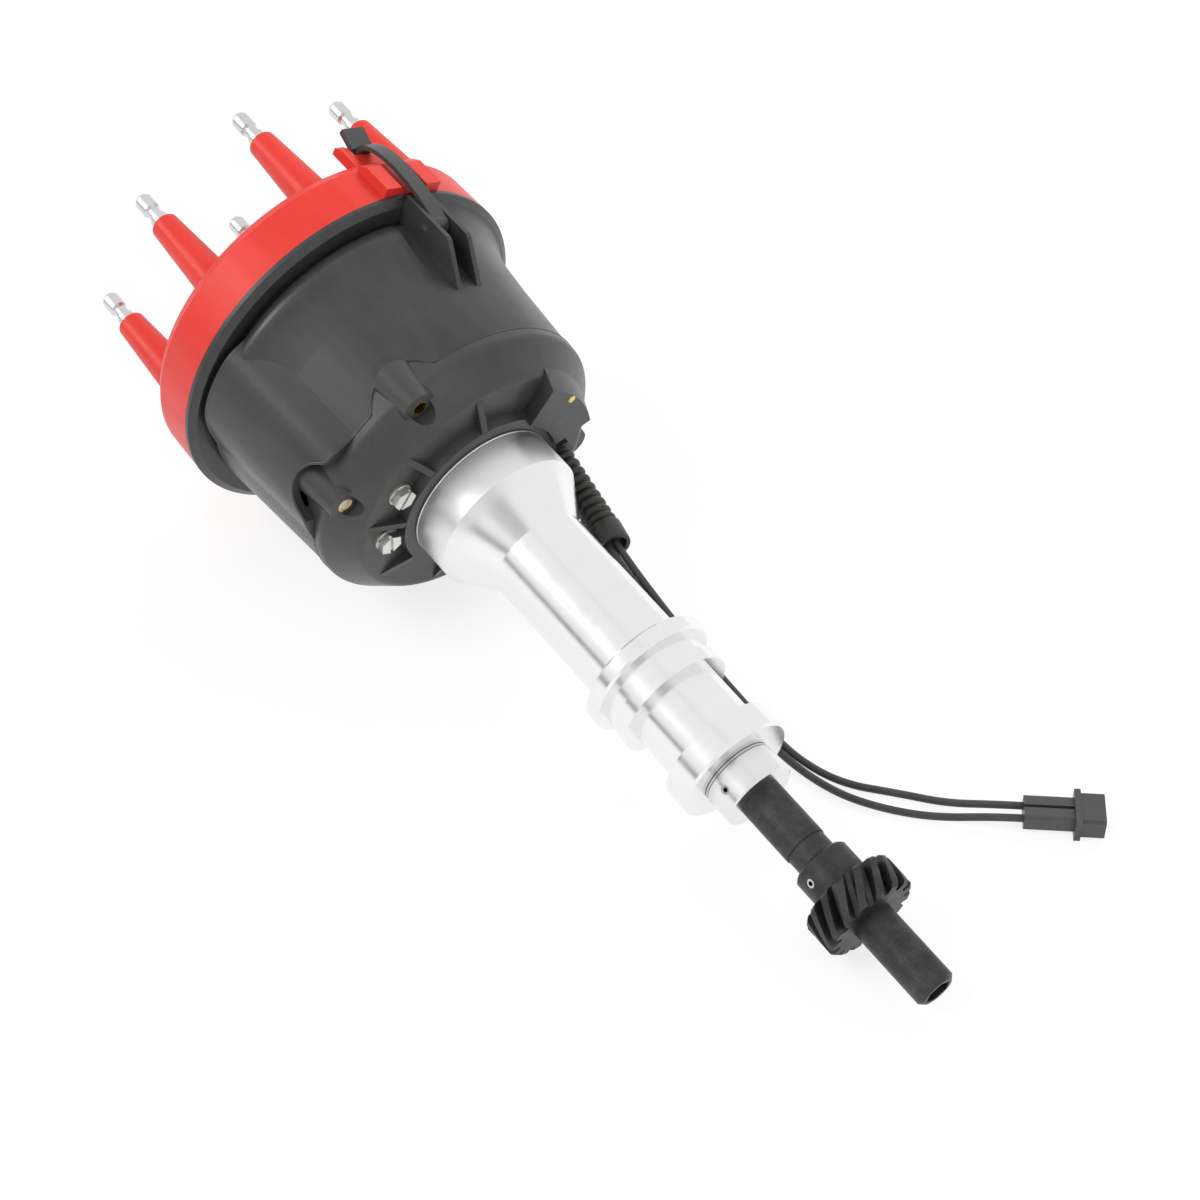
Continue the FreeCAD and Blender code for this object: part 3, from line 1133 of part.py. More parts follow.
def rotor_screws():
    top = ROTOR_DISC_LOW_Z + ROTOR_DISC_THICK
    shank = rod(Vector(ROTOR_LEG_CIRCLE_R, 0, PLATE_LOW_Z), Vector(ROTOR_LEG_CIRCLE_R, 0, top),
                ROTOR_SCREW_R)
    head = rod(Vector(ROTOR_LEG_CIRCLE_R, 0, top),
               Vector(ROTOR_LEG_CIRCLE_R, 0, top + ROTOR_SCREW_HEAD), ROTOR_SCREW_HEAD_R)
    return Part.makeCompound(around(joined([shank, head]), 2, ROTOR_LEG_ANGLE))


def pickup_plate_top():
    return BOWL_FLOOR_TOP_Z + PICKUP_PLATE


def pickup_screw_places():
    return [(PICKUP_PLATE_R - 7.0, PICKUP_ANGLE - 15.0), (PICKUP_PLATE_R - 7.0, PICKUP_ANGLE + 15.0)]


def pickup_plate():
    body = ring(PICKUP_PLATE_R, PICKUP_PLATE_BORE_R, BOWL_FLOOR_TOP_Z, pickup_plate_top())
    tapped = hex_screw_axis(BOWL_FLOOR_TOP_Z - 1, pickup_plate_top() + 1, HEX_SCREW_R)
    lead_notch = rod(polar(BOOT_CIRCLE_R, BOOT_ANGLE, BOWL_FLOOR_TOP_Z - 1),
                     polar(BOOT_CIRCLE_R, BOOT_ANGLE, pickup_plate_top() + 1), BOOT_NECK_R + 2.4)
    cuts = at_angles(tapped, HEX_SCREW_ANGLES) + [lead_notch]
    for r, angle in pickup_screw_places():
        cuts.append(rod(polar(r, angle, BOWL_FLOOR_TOP_Z - 1), polar(r, angle, pickup_plate_top() + 1),
                        ROTOR_SCREW_R))
    return without(body, cuts)


def pickup_bracket():
    low = pickup_plate_top()
    r_end = POLE_END_R + MAGNET_LENGTH
    foot = sector([(PICKUP_PLATE_BORE_R + 0.5, low), (PICKUP_PLATE_R - 2.5, low),
                   (PICKUP_PLATE_R - 2.5, low + PICKUP_BRACKET),
                   (PICKUP_PLATE_BORE_R + 0.5, low + PICKUP_BRACKET)],
                  PICKUP_ANGLE - 21.0, PICKUP_ANGLE + 21.0)
    upright = turn(block(POLE_END_R - PICKUP_BRACKET, POLE_END_R, MAGNET_WIDTH + 5.0, low,
                         PICKUP_Z + MAGNET_HEIGHT / 2.0), PICKUP_ANGLE)
    keep = disc(r_end, low, PICKUP_Z + MAGNET_HEIGHT)
    pole_slot = turn(block(POLE_END_R - 4.0, POLE_END_R + 1.0, POLE_WIDTH,
                           PICKUP_Z - POLE_HEIGHT / 2.0, PICKUP_Z + POLE_HEIGHT / 2.0),
                     PICKUP_ANGLE)
    cuts = [pole_slot]
    for r, angle in pickup_screw_places():
        cuts.append(rod(polar(r, angle, low - 1), polar(r, angle, low + 4), ROTOR_SCREW_R + EASY))
    return without(joined([foot, upright.common(keep)]), cuts)


def pickup_pole():
    start = RELUCTOR_R + POLE_GAP
    body = block(start, POLE_END_R, POLE_WIDTH, PICKUP_Z - POLE_HEIGHT / 2.0,
                 PICKUP_Z + POLE_HEIGHT / 2.0)
    return turn(body, PICKUP_ANGLE)


def pickup_magnet():
    body = block(POLE_END_R, POLE_END_R + MAGNET_LENGTH, MAGNET_WIDTH,
                 PICKUP_Z - MAGNET_HEIGHT / 2.0, PICKUP_Z + MAGNET_HEIGHT / 2.0)
    return turn(body, PICKUP_ANGLE)


def radial_rod(r_from, r_to, r):
    return rod(Vector(r_from, 0, PICKUP_Z), Vector(r_to, 0, PICKUP_Z), r)


def pole_space():
    return block(COIL_FROM_R - 1, COIL_TO_R + 1, POLE_WIDTH, PICKUP_Z - POLE_HEIGHT / 2.0,
                 PICKUP_Z + POLE_HEIGHT / 2.0)


def coil_bobbin():
    tube_r = math.hypot(POLE_WIDTH, POLE_HEIGHT) / 2.0 + 0.7
    body = joined([radial_rod(COIL_FROM_R, COIL_TO_R, tube_r),
                   radial_rod(COIL_FROM_R, COIL_FROM_R + COIL_FLANGE, COIL_FLANGE_R),
                   radial_rod(COIL_TO_R - COIL_FLANGE, COIL_TO_R, COIL_FLANGE_R)])
    return turn(without(body, [pole_space()]), PICKUP_ANGLE)


def pickup_winding():
    tube_r = math.hypot(POLE_WIDTH, POLE_HEIGHT) / 2.0 + 0.7
    body = radial_rod(COIL_FROM_R + COIL_FLANGE, COIL_TO_R - COIL_FLANGE, COIL_R)
    return turn(body.cut(radial_rod(COIL_FROM_R - 1, COIL_TO_R + 1, tube_r)), PICKUP_ANGLE)


def pickup_screws():
    seat = pickup_plate_top() + PICKUP_BRACKET
    pieces = []
    for r, angle in pickup_screw_places():
        shank = rod(polar(r, angle, BOWL_FLOOR_TOP_Z + 0.1), polar(r, angle, seat), ROTOR_SCREW_R)
        head = rod(polar(r, angle, seat), polar(r, angle, seat + 2.0), ROTOR_SCREW_HEAD_R - 0.3)
        pieces.append(joined([shank, head]))
    return Part.makeCompound(pieces)


def pickup_lead():
    # the short inner lead, from the winding to the neck of the boot
    z = PICKUP_Z + 1.0
    start = polar((COIL_FROM_R + COIL_TO_R) / 2.0, PICKUP_ANGLE + 10.4, z)
    points = [start, polar(33.5, PICKUP_ANGLE + 26.0, z), polar(BOOT_CIRCLE_R, BOOT_ANGLE, z - 2.0),
              polar(BOOT_CIRCLE_R, BOOT_ANGLE, BOWL_FLOOR_TOP_Z + 2.2)]
    return cord_tube(points, 1.2).cut(pickup_winding())


def hex_screws():
    head_top = BOWL_FLOOR_LOW_Z - WASHER
    head = turn(hexagon(HEX_HEAD_AF, head_top - HEX_HEAD_HEIGHT, head_top), 30.0)
    head.translate(Vector(HEX_SCREW_CIRCLE_R, 0, 0))
    shank = hex_screw_axis(head_top, pickup_plate_top(), HEX_SCREW_R)
    slot = block(HEX_SCREW_CIRCLE_R - 0.55, HEX_SCREW_CIRCLE_R + 0.55, HEX_HEAD_AF + 3,
                 head_top - HEX_HEAD_HEIGHT - 1, head_top - HEX_HEAD_HEIGHT + 1.1)
    return Part.makeCompound(at_angles(without(joined([head, shank]), [slot]), HEX_SCREW_ANGLES))


def hex_screw_washers():
    one = hex_screw_axis(BOWL_FLOOR_LOW_Z - WASHER, BOWL_FLOOR_LOW_Z, WASHER_R).cut(
        hex_screw_axis(BOWL_FLOOR_LOW_Z - 2, BOWL_FLOOR_LOW_Z + 2, HEX_SCREW_R))
    return Part.makeCompound(at_angles(one, HEX_SCREW_ANGLES))


def head_screws():
    x = HEAD_SCREW_CIRCLE_R
    shank = rod(Vector(x, 0, HEAD_TOP_Z - HEAD_SCREW_DEPTH), Vector(x, 0, BOWL_FLOOR_TOP_Z),
                HEX_SCREW_R)
    head = rod(Vector(x, 0, BOWL_FLOOR_TOP_Z), Vector(x, 0, BOWL_FLOOR_TOP_Z + 2.4),
               ROTOR_SCREW_HEAD_R)
    return Part.makeCompound(around(joined([shank, head]), HEAD_SCREW_COUNT, HEAD_SCREW_ANGLE))


def boot_hexagon(across_flats, low, high):
    nut = hexagon(across_flats, low, high)
    nut.translate(Vector(BOOT_CIRCLE_R, 0, 0))
    return nut


def boot_points():
    neck = polar(BOOT_CIRCLE_R, BOOT_ANGLE, BOWL_FLOOR_LOW_Z - 2.4)
    return neck, polar(*BOOT_BEND), polar(*BOOT_END)


def bellows(start, end, ribs, r_first, r_last, cuff):
    # one straight run of the boot: ribs that grow along it, then a cuff if it has one
    way = end.sub(start)
    length = way.Length - cuff
    pitch = length / ribs
    valley = BOOT_CORE_R
    outline = [(0, 0), (valley, 0)]
    for k in range(ribs):
        rib_r = r_first + (r_last - r_first) * k / max(ribs - 1, 1)
        outline += [(rib_r, (k + 0.45) * pitch), (rib_r, (k + 0.6) * pitch),
                    (valley, (k + 1.0) * pitch)]
    if cuff:
        outline += [(BOOT_CUFF_R, length + 0.2), (BOOT_CUFF_R, way.Length)]
    body = turned(outline + [(0, way.Length)])
    body.Placement = Placement(start, Rotation(AXIS, way))
    return body


def cable_boot():
    # a grommet neck in the bowl's floor, a bellows that grows downwards, and a cuff
    neck, bend, end = boot_points()
    top = polar(BOOT_CIRCLE_R, BOOT_ANGLE, BOWL_FLOOR_TOP_Z + 1.6)
    upper_ribs = BOOT_RIBS // 2
    middle_r = BOOT_TOP_R + 0.4 * (BOOT_CUFF_R - BOOT_TOP_R)
    pieces = [rod(neck, top, BOOT_NECK_R),
              rod(polar(BOOT_CIRCLE_R, BOOT_ANGLE, BOWL_FLOOR_TOP_Z), top, BOOT_NECK_R + 1.8),
              turn(boot_hexagon(BOOT_HEX_AF, neck.z, BOWL_FLOOR_LOW_Z), BOOT_ANGLE),
              bellows(neck, bend, upper_ribs, BOOT_TOP_R, middle_r, 0),
              bellows(bend, end, BOOT_RIBS - upper_ribs, middle_r, BOOT_CUFF_R - 0.2,
                      BOOT_CUFF_LENGTH),
              Part.makeSphere(BOOT_CORE_R + 0.1, bend)]
    body = pieces[0]
    for piece in pieces[1:]:
        body = body.fuse(piece)
    second = end.sub(bend)
    mouth_start = end.sub(second * (BOOT_MOUTH / second.Length))
    mouth = rod(mouth_start, end.add(second * 0.1), BOOT_CUFF_R - 1.6)
    return without(body, [mouth])


def low_corner_x():
    # reach of the lower latch's ear towards the bench
    side = latch_slot_half() + EAR_THICK
    a = math.radians(LATCH_ANGLE)
    return EAR_R * math.cos(a) + side * math.sin(a)


def lie_angle():
    # tilt of the axis when that ear and the gear both touch the bench
    return math.degrees(math.atan2(low_corner_x() - GEAR_R, EAR_CORNER_Z - GEAR_LOW_Z))


def laid_down(point):
    return Rotation(Vector(0, 1, 0), lie_angle() - 90.0).multVec(point)


def bench_level():
    t = math.radians(lie_angle())
    return GEAR_LOW_Z * math.sin(t) - GEAR_R * math.cos(t)


def on_bench(along, across, height):
    # a point given by where it lies on the bench, counted below the flange's middle
    return Vector(along, across, bench_level() + height)


def cord_path(points):
    # straight runs joined by tangent arcs
    edges = []
    start = points[0]
    for before, corner, after in zip(points, points[1:], points[2:]):
        back = before.sub(corner)
        ahead = after.sub(corner)
        reach = 0.45 * min(back.Length, ahead.Length)
        u = Vector(back.x, back.y, back.z).normalize()
        v = Vector(ahead.x, ahead.y, ahead.z).normalize()
        half_turn = (math.pi - u.getAngle(v)) / 2.0
        radius = reach / math.tan(half_turn)
        middle = u.add(v).normalize()
        enter = corner.add(u * reach)
        leave = corner.add(v * reach)
        crest = corner.add(middle * (math.hypot(reach, radius) - radius))
        edges.append(Part.LineSegment(start, enter).toShape())
        edges.append(Part.Arc(enter, crest, leave).toShape())
        start = leave
    edges.append(Part.LineSegment(start, points[-1]).toShape())
    return Part.Wire(edges)


def cord_tube(points, r):
    path = cord_path(points)
    section = Part.Wire([Part.Circle(points[0], points[1].sub(points[0]), r).toShape()])
    return path.makePipeShell([section], True, True)


def connector_frame():
    a = math.radians(CONNECTOR_ANGLE)
    along = Vector(math.cos(a), math.sin(a), 0)
    across = Vector(-math.sin(a), math.cos(a), 0)
    height = CONNECTOR_FLANGE[2] / 2.0
    return on_bench(CONNECTOR_FOOT[0], CONNECTOR_FOOT[1], height), along, across


def wire_start(side):
    neck, bend, end = boot_points()
    second = end.sub(bend)
    inside = end.sub(second * (BOOT_MOUTH / second.Length))
    way = laid_down(second)
    step = Vector(-way.y, way.x, 0).normalize() * (side * (WIRE_R + WIRE_GAP / 2.0))
    return laid_down(inside), laid_down(end.add(second * (5.0 / second.Length))), step


def wire_points(side):
    # side 1 is the wire that lies further from the shaft, side -1 the nearer one
    inside, beyond, step = wire_start(side)
    foot, along, across = connector_frame()
    lie = WIRE_R
    gap = side * (WIRE_R + WIRE_GAP / 2.0)
    entry = foot.add(across * (side * CONTACT_PITCH / 2.0))
    route = [inside.add(step), beyond.add(step),
             on_bench(-66.0, 30.4 + gap, 19.0), on_bench(-47.0, 35.6 + gap, 4.2),
             on_bench(-28.0, 34.6 + gap, lie + 0.3), on_bench(-10.0, 32.9 + gap, lie)]
    if side > 0:
        route += [on_bench(7.6, 38.2, lie), on_bench(22.0, 49.4, lie), on_bench(34.6, 58.2, lie + 0.2)]
    else:
        route += [on_bench(8.6, 34.0, lie), on_bench(22.6, 40.6, lie), on_bench(36.4, 51.0, lie + 0.2)]
    return route + [entry.sub(along * 9.0), entry]


def pickup_wire(side):
    return cord_tube(wire_points(side), WIRE_R)


def box_along(start, along, across, length, width, height, lift=0.0):
    up = Vector(0, 0, 1)
    corner = start.sub(across * (width / 2.0)).sub(up * (height / 2.0 - lift))
    box = Part.makeBox(length, width, height)
    turn_to = math.degrees(math.atan2(along.y, along.x))
    box.Placement = Placement(corner, Rotation(up, turn_to))
    return box


def connector_body():
    foot, along, across = connector_frame()
    rear_l, rear_w, rear_h = CONNECTOR_REAR
    flange_l, flange_w, flange_h = CONNECTOR_FLANGE
    nose_l, nose_w, nose_h = CONNECTOR_NOSE
    rear = box_along(foot, along, across, rear_l, rear_w, rear_h)
    long_edges = [e for e in rear.Edges if abs(e.Length - rear_l) < 1e-6]
    rear = rear.makeFillet(1.2, long_edges)
    flange = box_along(foot.add(along * rear_l), along, across, flange_l, flange_w, flange_h)
    nose = box_along(foot.add(along * (rear_l + flange_l)), along, across, nose_l, nose_w, nose_h)
    nose = nose.makeChamfer(0.8, [e for e in nose.Edges if abs(e.Length - nose_l) < 1e-6])
    groove = box_along(foot.sub(along * 1.0), along, across, rear_l + 1.0, 1.2, 2.4,
                       rear_h / 2.0)
    body = joined([rear, flange, nose])
    cuts = [groove]
    cavity_start = foot.add(along * (rear_l + flange_l + 1.0))
    for side in (-1, 1):
        cuts.append(box_along(cavity_start.add(across * (side * 3.0)), along, across, nose_l, 4.4,
                              5.0))
        axis_start = foot.add(across * (side * CONTACT_PITCH / 2.0))
        cuts.append(rod(axis_start.add(along * 4.0), cavity_start.add(across * (side * CONTACT_PITCH
                        / 2.0)).add(along * 0.5), CONTACT_R))
    return without(body, cuts)


def connector_contacts():
    foot, along, across = connector_frame()
    length = CONNECTOR_REAR[0] + CONNECTOR_FLANGE[0] + CONNECTOR_NOSE[0] - 1.2
    pins = []
    for side in (-1, 1):
        start = foot.add(across * (side * CONTACT_PITCH / 2.0))
        pins.append(rod(start.add(along * 4.0), start.add(along * length), CONTACT_R))
    return Part.makeCompound(pins)


def upright_pieces():
    second = LATCH_ANGLE + 180.0
    return {
        "shaft_housing": shaft_housing(),
        "lower_bushing": lower_bushing(),
        "bearing_outer_race": bearing_outer_race(),
        "bearing_inner_race": bearing_inner_race(),
        "bearing_balls": bearing_balls(),
        "bearing_cage": bearing_cage(),
        "housing_snap_ring": housing_snap_ring(),
        "shaft_snap_ring": shaft_snap_ring(),
        "mainshaft": mainshaft(),
        "thrust_washer": thrust_washer(),
        "thrust_collar": thrust_collar(),
        "collar_pin": roll_pin(COLLAR_PIN_Z, COLLAR_PIN_ANGLE, COLLAR_R),
        "drive_gear": drive_gear(),
        "gear_pin": roll_pin(GEAR_PIN_Z, GEAR_PIN_ANGLE, GEAR_HUB_R),
        "bowl_base": bowl_base(),
        "head_screws": head_screws(),
        "hex_screws": hex_screws(),
        "hex_screw_washers": hex_screw_washers(),
        "threaded_inserts": threaded_inserts(),
        "adapter_screws": adapter_screws(),
        "cap_adapter": cap_adapter(),
        "latch_pin_a": latch_pin(LATCH_ANGLE),
        "latch_pin_b": latch_pin(second),
        "latch_a": latch_strap(LATCH_ANGLE),
        "latch_b": latch_strap(second),
        "distributor_cap": distributor_cap(),
        "plug_terminals": plug_terminals(),
        "coil_terminal": coil_terminal(),
        "carbon_brush": carbon_brush(),
        "brush_spring": brush_spring(),
        "advance_sleeve": advance_sleeve(),
        "reluctor": reluctor(),
        "weight_plate": weight_plate(),
        "weight_pins": weight_pins(),
        "advance_weight_a": advance_weight(0),
        "advance_weight_b": advance_weight(1),
        "cam_plate": cam_plate(),
        "cam_nut": cam_nut(),
        "stop_bushings": stop_bushings(),
        "advance_spring_a": advance_spring(0),
        "advance_spring_b": advance_spring(1),
        "rotor_body": rotor_body(),
        "rotor_contact": rotor_contact(),
        "rotor_screws": rotor_screws(),
        "pickup_plate": pickup_plate(),
        "pickup_bracket": pickup_bracket(),
        "pickup_pole": pickup_pole(),
        "pickup_magnet": pickup_magnet(),
        "coil_bobbin": coil_bobbin(),
        "pickup_winding": pickup_winding(),
        "pickup_screws": pickup_screws(),
        "pickup_lead": pickup_lead(),
        "cable_boot": cable_boot(),
    }


def bench_pieces():
    return {
        "pickup_wire_a": pickup_wire(1),
        "pickup_wire_b": pickup_wire(-1),
        "connector_body": connector_body(),
        "connector_contacts": connector_contacts(),
    }


def span_along(shapes):
    # ends of the assembly along the bench, from the true surfaces
    boxes = [shape.optimalBoundingBox(True, False) for shape in shapes]
    return min(b.XMin for b in boxes), max(b.XMax for b in boxes)


def main():
    pieces = upright_pieces()
    lay = Placement(Vector(0, 0, 0), Rotation(Vector(0, 1, 0), lie_angle() - 90.0))
    for shape in pieces.values():
        shape.Placement = lay.multiply(shape.Placement)
    low, high = span_along([pieces["plug_terminals"], pieces["coil_terminal"],
                            pieces["mainshaft"]])
    shift = Vector(-(low + high) / 2.0, 0, -bench_level())
    pieces.update(bench_pieces())
    os.makedirs("parts", exist_ok=True)
    for name, shape in pieces.items():
        shape.translate(shift)
        shape.exportStep("parts/" + name + ".step")
    print("flange middle stands at", round(shift.x, 3), round(shift.z, 3),
          "axis tilt", round(lie_angle(), 4), "pieces", len(pieces))


main()
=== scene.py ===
# %% [markdown]
# # An ignition distributor, dressed for a studio picture
# The shapes of the hard pieces come from the CAD model and stay as they are. This
# lesson gives them their finishes and adds what CAD shows only roughly or leaves out: the
# free lead, the rubber boot, the wound springs, the adapter's rounded edges and a dab of
# paint. It also sets the camera, the lights and the pale floor of a catalogue picture.

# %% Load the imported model
import math
import bmesh
import bpy
from mathutils import Matrix, Vector


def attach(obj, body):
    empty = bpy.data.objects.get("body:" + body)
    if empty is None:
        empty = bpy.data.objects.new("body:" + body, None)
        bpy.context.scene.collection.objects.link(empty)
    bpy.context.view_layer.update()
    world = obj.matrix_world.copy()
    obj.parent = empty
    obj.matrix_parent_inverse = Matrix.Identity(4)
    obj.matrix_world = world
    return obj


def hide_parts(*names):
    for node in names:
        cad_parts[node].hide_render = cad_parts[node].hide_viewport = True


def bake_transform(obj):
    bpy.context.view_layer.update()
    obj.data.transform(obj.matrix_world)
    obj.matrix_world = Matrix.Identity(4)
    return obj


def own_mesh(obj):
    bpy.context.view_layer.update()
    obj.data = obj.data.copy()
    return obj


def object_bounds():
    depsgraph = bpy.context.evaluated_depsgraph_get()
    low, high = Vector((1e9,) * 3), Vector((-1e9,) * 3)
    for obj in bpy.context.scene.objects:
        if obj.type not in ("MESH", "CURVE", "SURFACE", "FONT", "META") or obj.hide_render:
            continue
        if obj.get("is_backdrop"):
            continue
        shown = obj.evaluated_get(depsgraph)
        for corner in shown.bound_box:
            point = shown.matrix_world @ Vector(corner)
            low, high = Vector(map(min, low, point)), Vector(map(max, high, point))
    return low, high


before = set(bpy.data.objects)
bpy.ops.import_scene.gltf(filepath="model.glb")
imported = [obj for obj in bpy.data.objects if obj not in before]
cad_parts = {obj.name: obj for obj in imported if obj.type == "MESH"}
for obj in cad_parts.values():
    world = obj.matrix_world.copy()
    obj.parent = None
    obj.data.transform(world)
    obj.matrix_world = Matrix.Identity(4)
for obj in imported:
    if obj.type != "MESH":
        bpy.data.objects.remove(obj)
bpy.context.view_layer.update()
scene = bpy.context.scene
print("pieces from the CAD model:", len(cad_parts))

# %% [markdown]
# The distributor lies on its side and its shaft leans down towards the gear. The CAD was
# drawn upright along that shaft, in millimetres, so the new pieces are easiest to place
# in the same upright way. One matrix then lays them down. Its columns are the directions
# that the upright x, y and z axes have on the bench.

# %% The upright frame and how it lies on the bench
MM = 0.001
LEAN = math.radians(11.1864)          # how far the shaft leans down towards the gear
FLANGE = Vector((91.226, 0.0, 27.723))  # middle of the pilot flange's lower face
capward = Vector((-math.cos(LEAN), 0.0, math.sin(LEAN)))
upward = Vector((math.sin(LEAN), 0.0, math.cos(LEAN)))
laid_turn = Matrix((upward, Vector((0.0, 1.0, 0.0)), capward)).transposed()
laid = Matrix.Scale(MM, 4) @ Matrix.Translation(FLANGE) @ laid_turn.to_4x4()


def polar(r, degrees, z):
    a = math.radians(degrees)
    return Vector((r * math.cos(a), r * math.sin(a), z))


def on_bench(x, y, z):
    return Vector((x, y, z)) * MM


print("the gear's middle lies at", [round(c, 4) for c in laid @ Vector((0, 0, -56.6))])

# %% [markdown]
# The camera looks down at about 45 degrees with a long lens, which keeps the barrel from
# swelling towards the viewer. Its place was fitted to the outline of the turned parts.

# %% Camera
LENS = 77.93
SENSOR = 36.0
camera_right = Vector((0.62752, 0.77858, -0.00533))
camera_up = Vector((-0.54465, 0.44384, 0.71159))
camera_back = Vector((0.55640, -0.44364, 0.70257))
camera = bpy.data.objects.new("camera", bpy.data.cameras.new("camera"))
camera.data.lens = LENS
camera.data.sensor_width = SENSOR
turned = Matrix((camera_right, camera_up, camera_back)).transposed()
camera.matrix_world = Matrix.Translation((0.47593, -0.35922, 0.61922)) @ turned.to_4x4()
scene.collection.objects.link(camera)
scene.camera = camera

# %% [markdown]
# A finish is a tree of shader nodes. Written out node by node it hides its own idea, so
# two small classes help. `Signal` wraps a socket, and sums on it add Math nodes. `Finish`
# holds the tree and has one method that adds any other node: its settings go in first,
# then the values or links of its sockets.

# %% Sums on sockets
class Signal:
    def __init__(self, tree, socket):
        self.tree = tree
        self.socket = socket

    def _math(self, operation, first=None, second=None):
        node = self.tree.nodes.new("ShaderNodeMath")
        node.operation = operation
        for slot, value in zip(node.inputs, (self if first is None else first, second)):
            feed(self.tree, slot, value)
        return Signal(self.tree, node.outputs[0])

    def __add__(self, other):
        return self._math("ADD", self, other)

    def __radd__(self, other):
        return self._math("ADD", other, self)

    def __sub__(self, other):
        return self._math("SUBTRACT", self, other)

    def __rsub__(self, other):
        return self._math("SUBTRACT", other, self)

    def __mul__(self, other):
        return self._math("MULTIPLY", self, other)

    def __rmul__(self, other):
        return self._math("MULTIPLY", other, self)

    def __truediv__(self, other):
        return self._math("DIVIDE", self, other)

    def __pow__(self, other):
        return self._math("POWER", self, other)

    def above(self, level):
        return self._math("GREATER_THAN", self, level)

    def off(self, level):
        # how far the value is from that level, either way
        return (self - level)._math("ABSOLUTE")


def feed(tree, slot, value):
    if isinstance(value, Signal):
        tree.links.new(value.socket, slot)
    elif value is not None:
        slot.default_value = value


# %% A finish and its one way to add a node
class Graph:
    def __init__(self, tree):
        self.tree = tree

    def node(self, kind, settings=None, inputs=None, out=0):
        node = self.tree.nodes.new(kind)
        for key, value in (settings or {}).items():
            if key == "stops":
                ramp = node.color_ramp.elements
                while len(ramp) < len(value):
                    ramp.new(1.0)
                for stop, (place, colour) in zip(ramp, value):
                    stop.position = place
                    stop.color = (*colour, 1.0)
            else:
                setattr(node, key, value)
        for key, value in (inputs or {}).items():
            feed(self.tree, node.inputs[key], value)
        return Signal(self.tree, node.outputs[out])

    def ease(self, value, start, end):
        # 0 up to the start, 1 from the end on, and a soft climb between
        return self.node("ShaderNodeMapRange", {"interpolation_type": "SMOOTHSTEP"},
                         {"Value": value, "From Min": start, "From Max": end})


class Finish(Graph):
    def __init__(self, name, **constants):
        self.material = bpy.data.materials.new(name)
        self.material.use_nodes = True
        super().__init__(self.material.node_tree)
        self.shader = self.tree.nodes["Principled BSDF"]
        for socket, value in constants.items():
            self.shader.inputs[socket.replace("_", " ")].default_value = value

    def drive(self, socket, value):
        feed(self.tree, self.shader.inputs[socket], value)

    def place(self):
        # where a point of the piece is, in metres on the bench
        return self.node("ShaderNodeTexCoord", out="Object")

    def upright(self):
        # the same point in the upright frame, in millimetres
        return self.node("ShaderNodeMapping", {"vector_type": "TEXTURE"},
                         {"Vector": self.place(), "Location": FLANGE * MM,
                          "Rotation": laid_turn.to_euler(), "Scale": (MM, MM, MM)})

    def noise(self, vector, scale, detail=2.0, roughness=0.5):
        return self.node("ShaderNodeTexNoise", None,
                         {"Vector": vector, "Scale": scale, "Detail": detail,
                          "Roughness": roughness})

    def blend(self, factor, first, second):
        return self.node("ShaderNodeMix", {"data_type": "RGBA"},
                         {0: factor, 6: first, 7: second}, out=2)

    def bump(self, height, depth_mm, normal=None):
        return self.node("ShaderNodeBump", None,
                         {"Strength": 1.0, "Distance": depth_mm * MM, "Height": height,
                          "Normal": normal})


def colour(r, g, b):
    return (r, g, b, 1.0)


finishes = {}
print("finish helpers ready")

# %% [markdown]
# Turned metal carries the track of the tool: fine grooves that run round the axis. Their
# height depends only on how far along the axis and how far out a point lies, so a noise
# that reads just those two numbers gives grooves on barrels, cones and end faces alike.
# Grooves narrower than a pixel spread a reflection across themselves, which makes the
# long pale streaks that turned metal shows along its length.

# %% Tool marks that follow the axis
def tool_marks(finish, pitch_mm, drift=0.02):
    spot = finish.node("ShaderNodeSeparateXYZ", None, {"Vector": finish.upright()})
    x, y, z = (Signal(finish.tree, s) for s in spot.socket.node.outputs)
    out = (x * x + y * y) ** 0.5
    track = finish.node("ShaderNodeCombineXYZ", None,
                        {0: z / pitch_mm, 1: out / pitch_mm, 2: x * drift})
    return finish.noise(track, 1.0, 2.0, 0.6), z


def turned_metal(name, light, dark, rough, rough_spread, groove_mm, pitch_mm, dull_from=None):
    finish = Finish(name, Metallic=1.0)
    fine, z = tool_marks(finish, pitch_mm)
    broad, z = tool_marks(finish, pitch_mm * 14.0)
    cloud = finish.noise(finish.place(), 60.0, 3.0)
    finish.drive("Base Color", finish.blend(0.45 * broad + 0.55 * cloud, dark, light))
    worn = rough + rough_spread * (broad + 0.6 * cloud - 0.8)
    if dull_from is not None:
        # the head was cut with a coarser tool than the barrel, so it's duller
        worn = worn + 0.16 * finish.ease(z, dull_from, dull_from + 6.0)
    finish.drive("Roughness", worn)
    ripples = finish.bump(broad, groove_mm * 0.5)
    finish.drive("Normal", finish.bump(fine, groove_mm, ripples))
    finishes[name] = finish.material


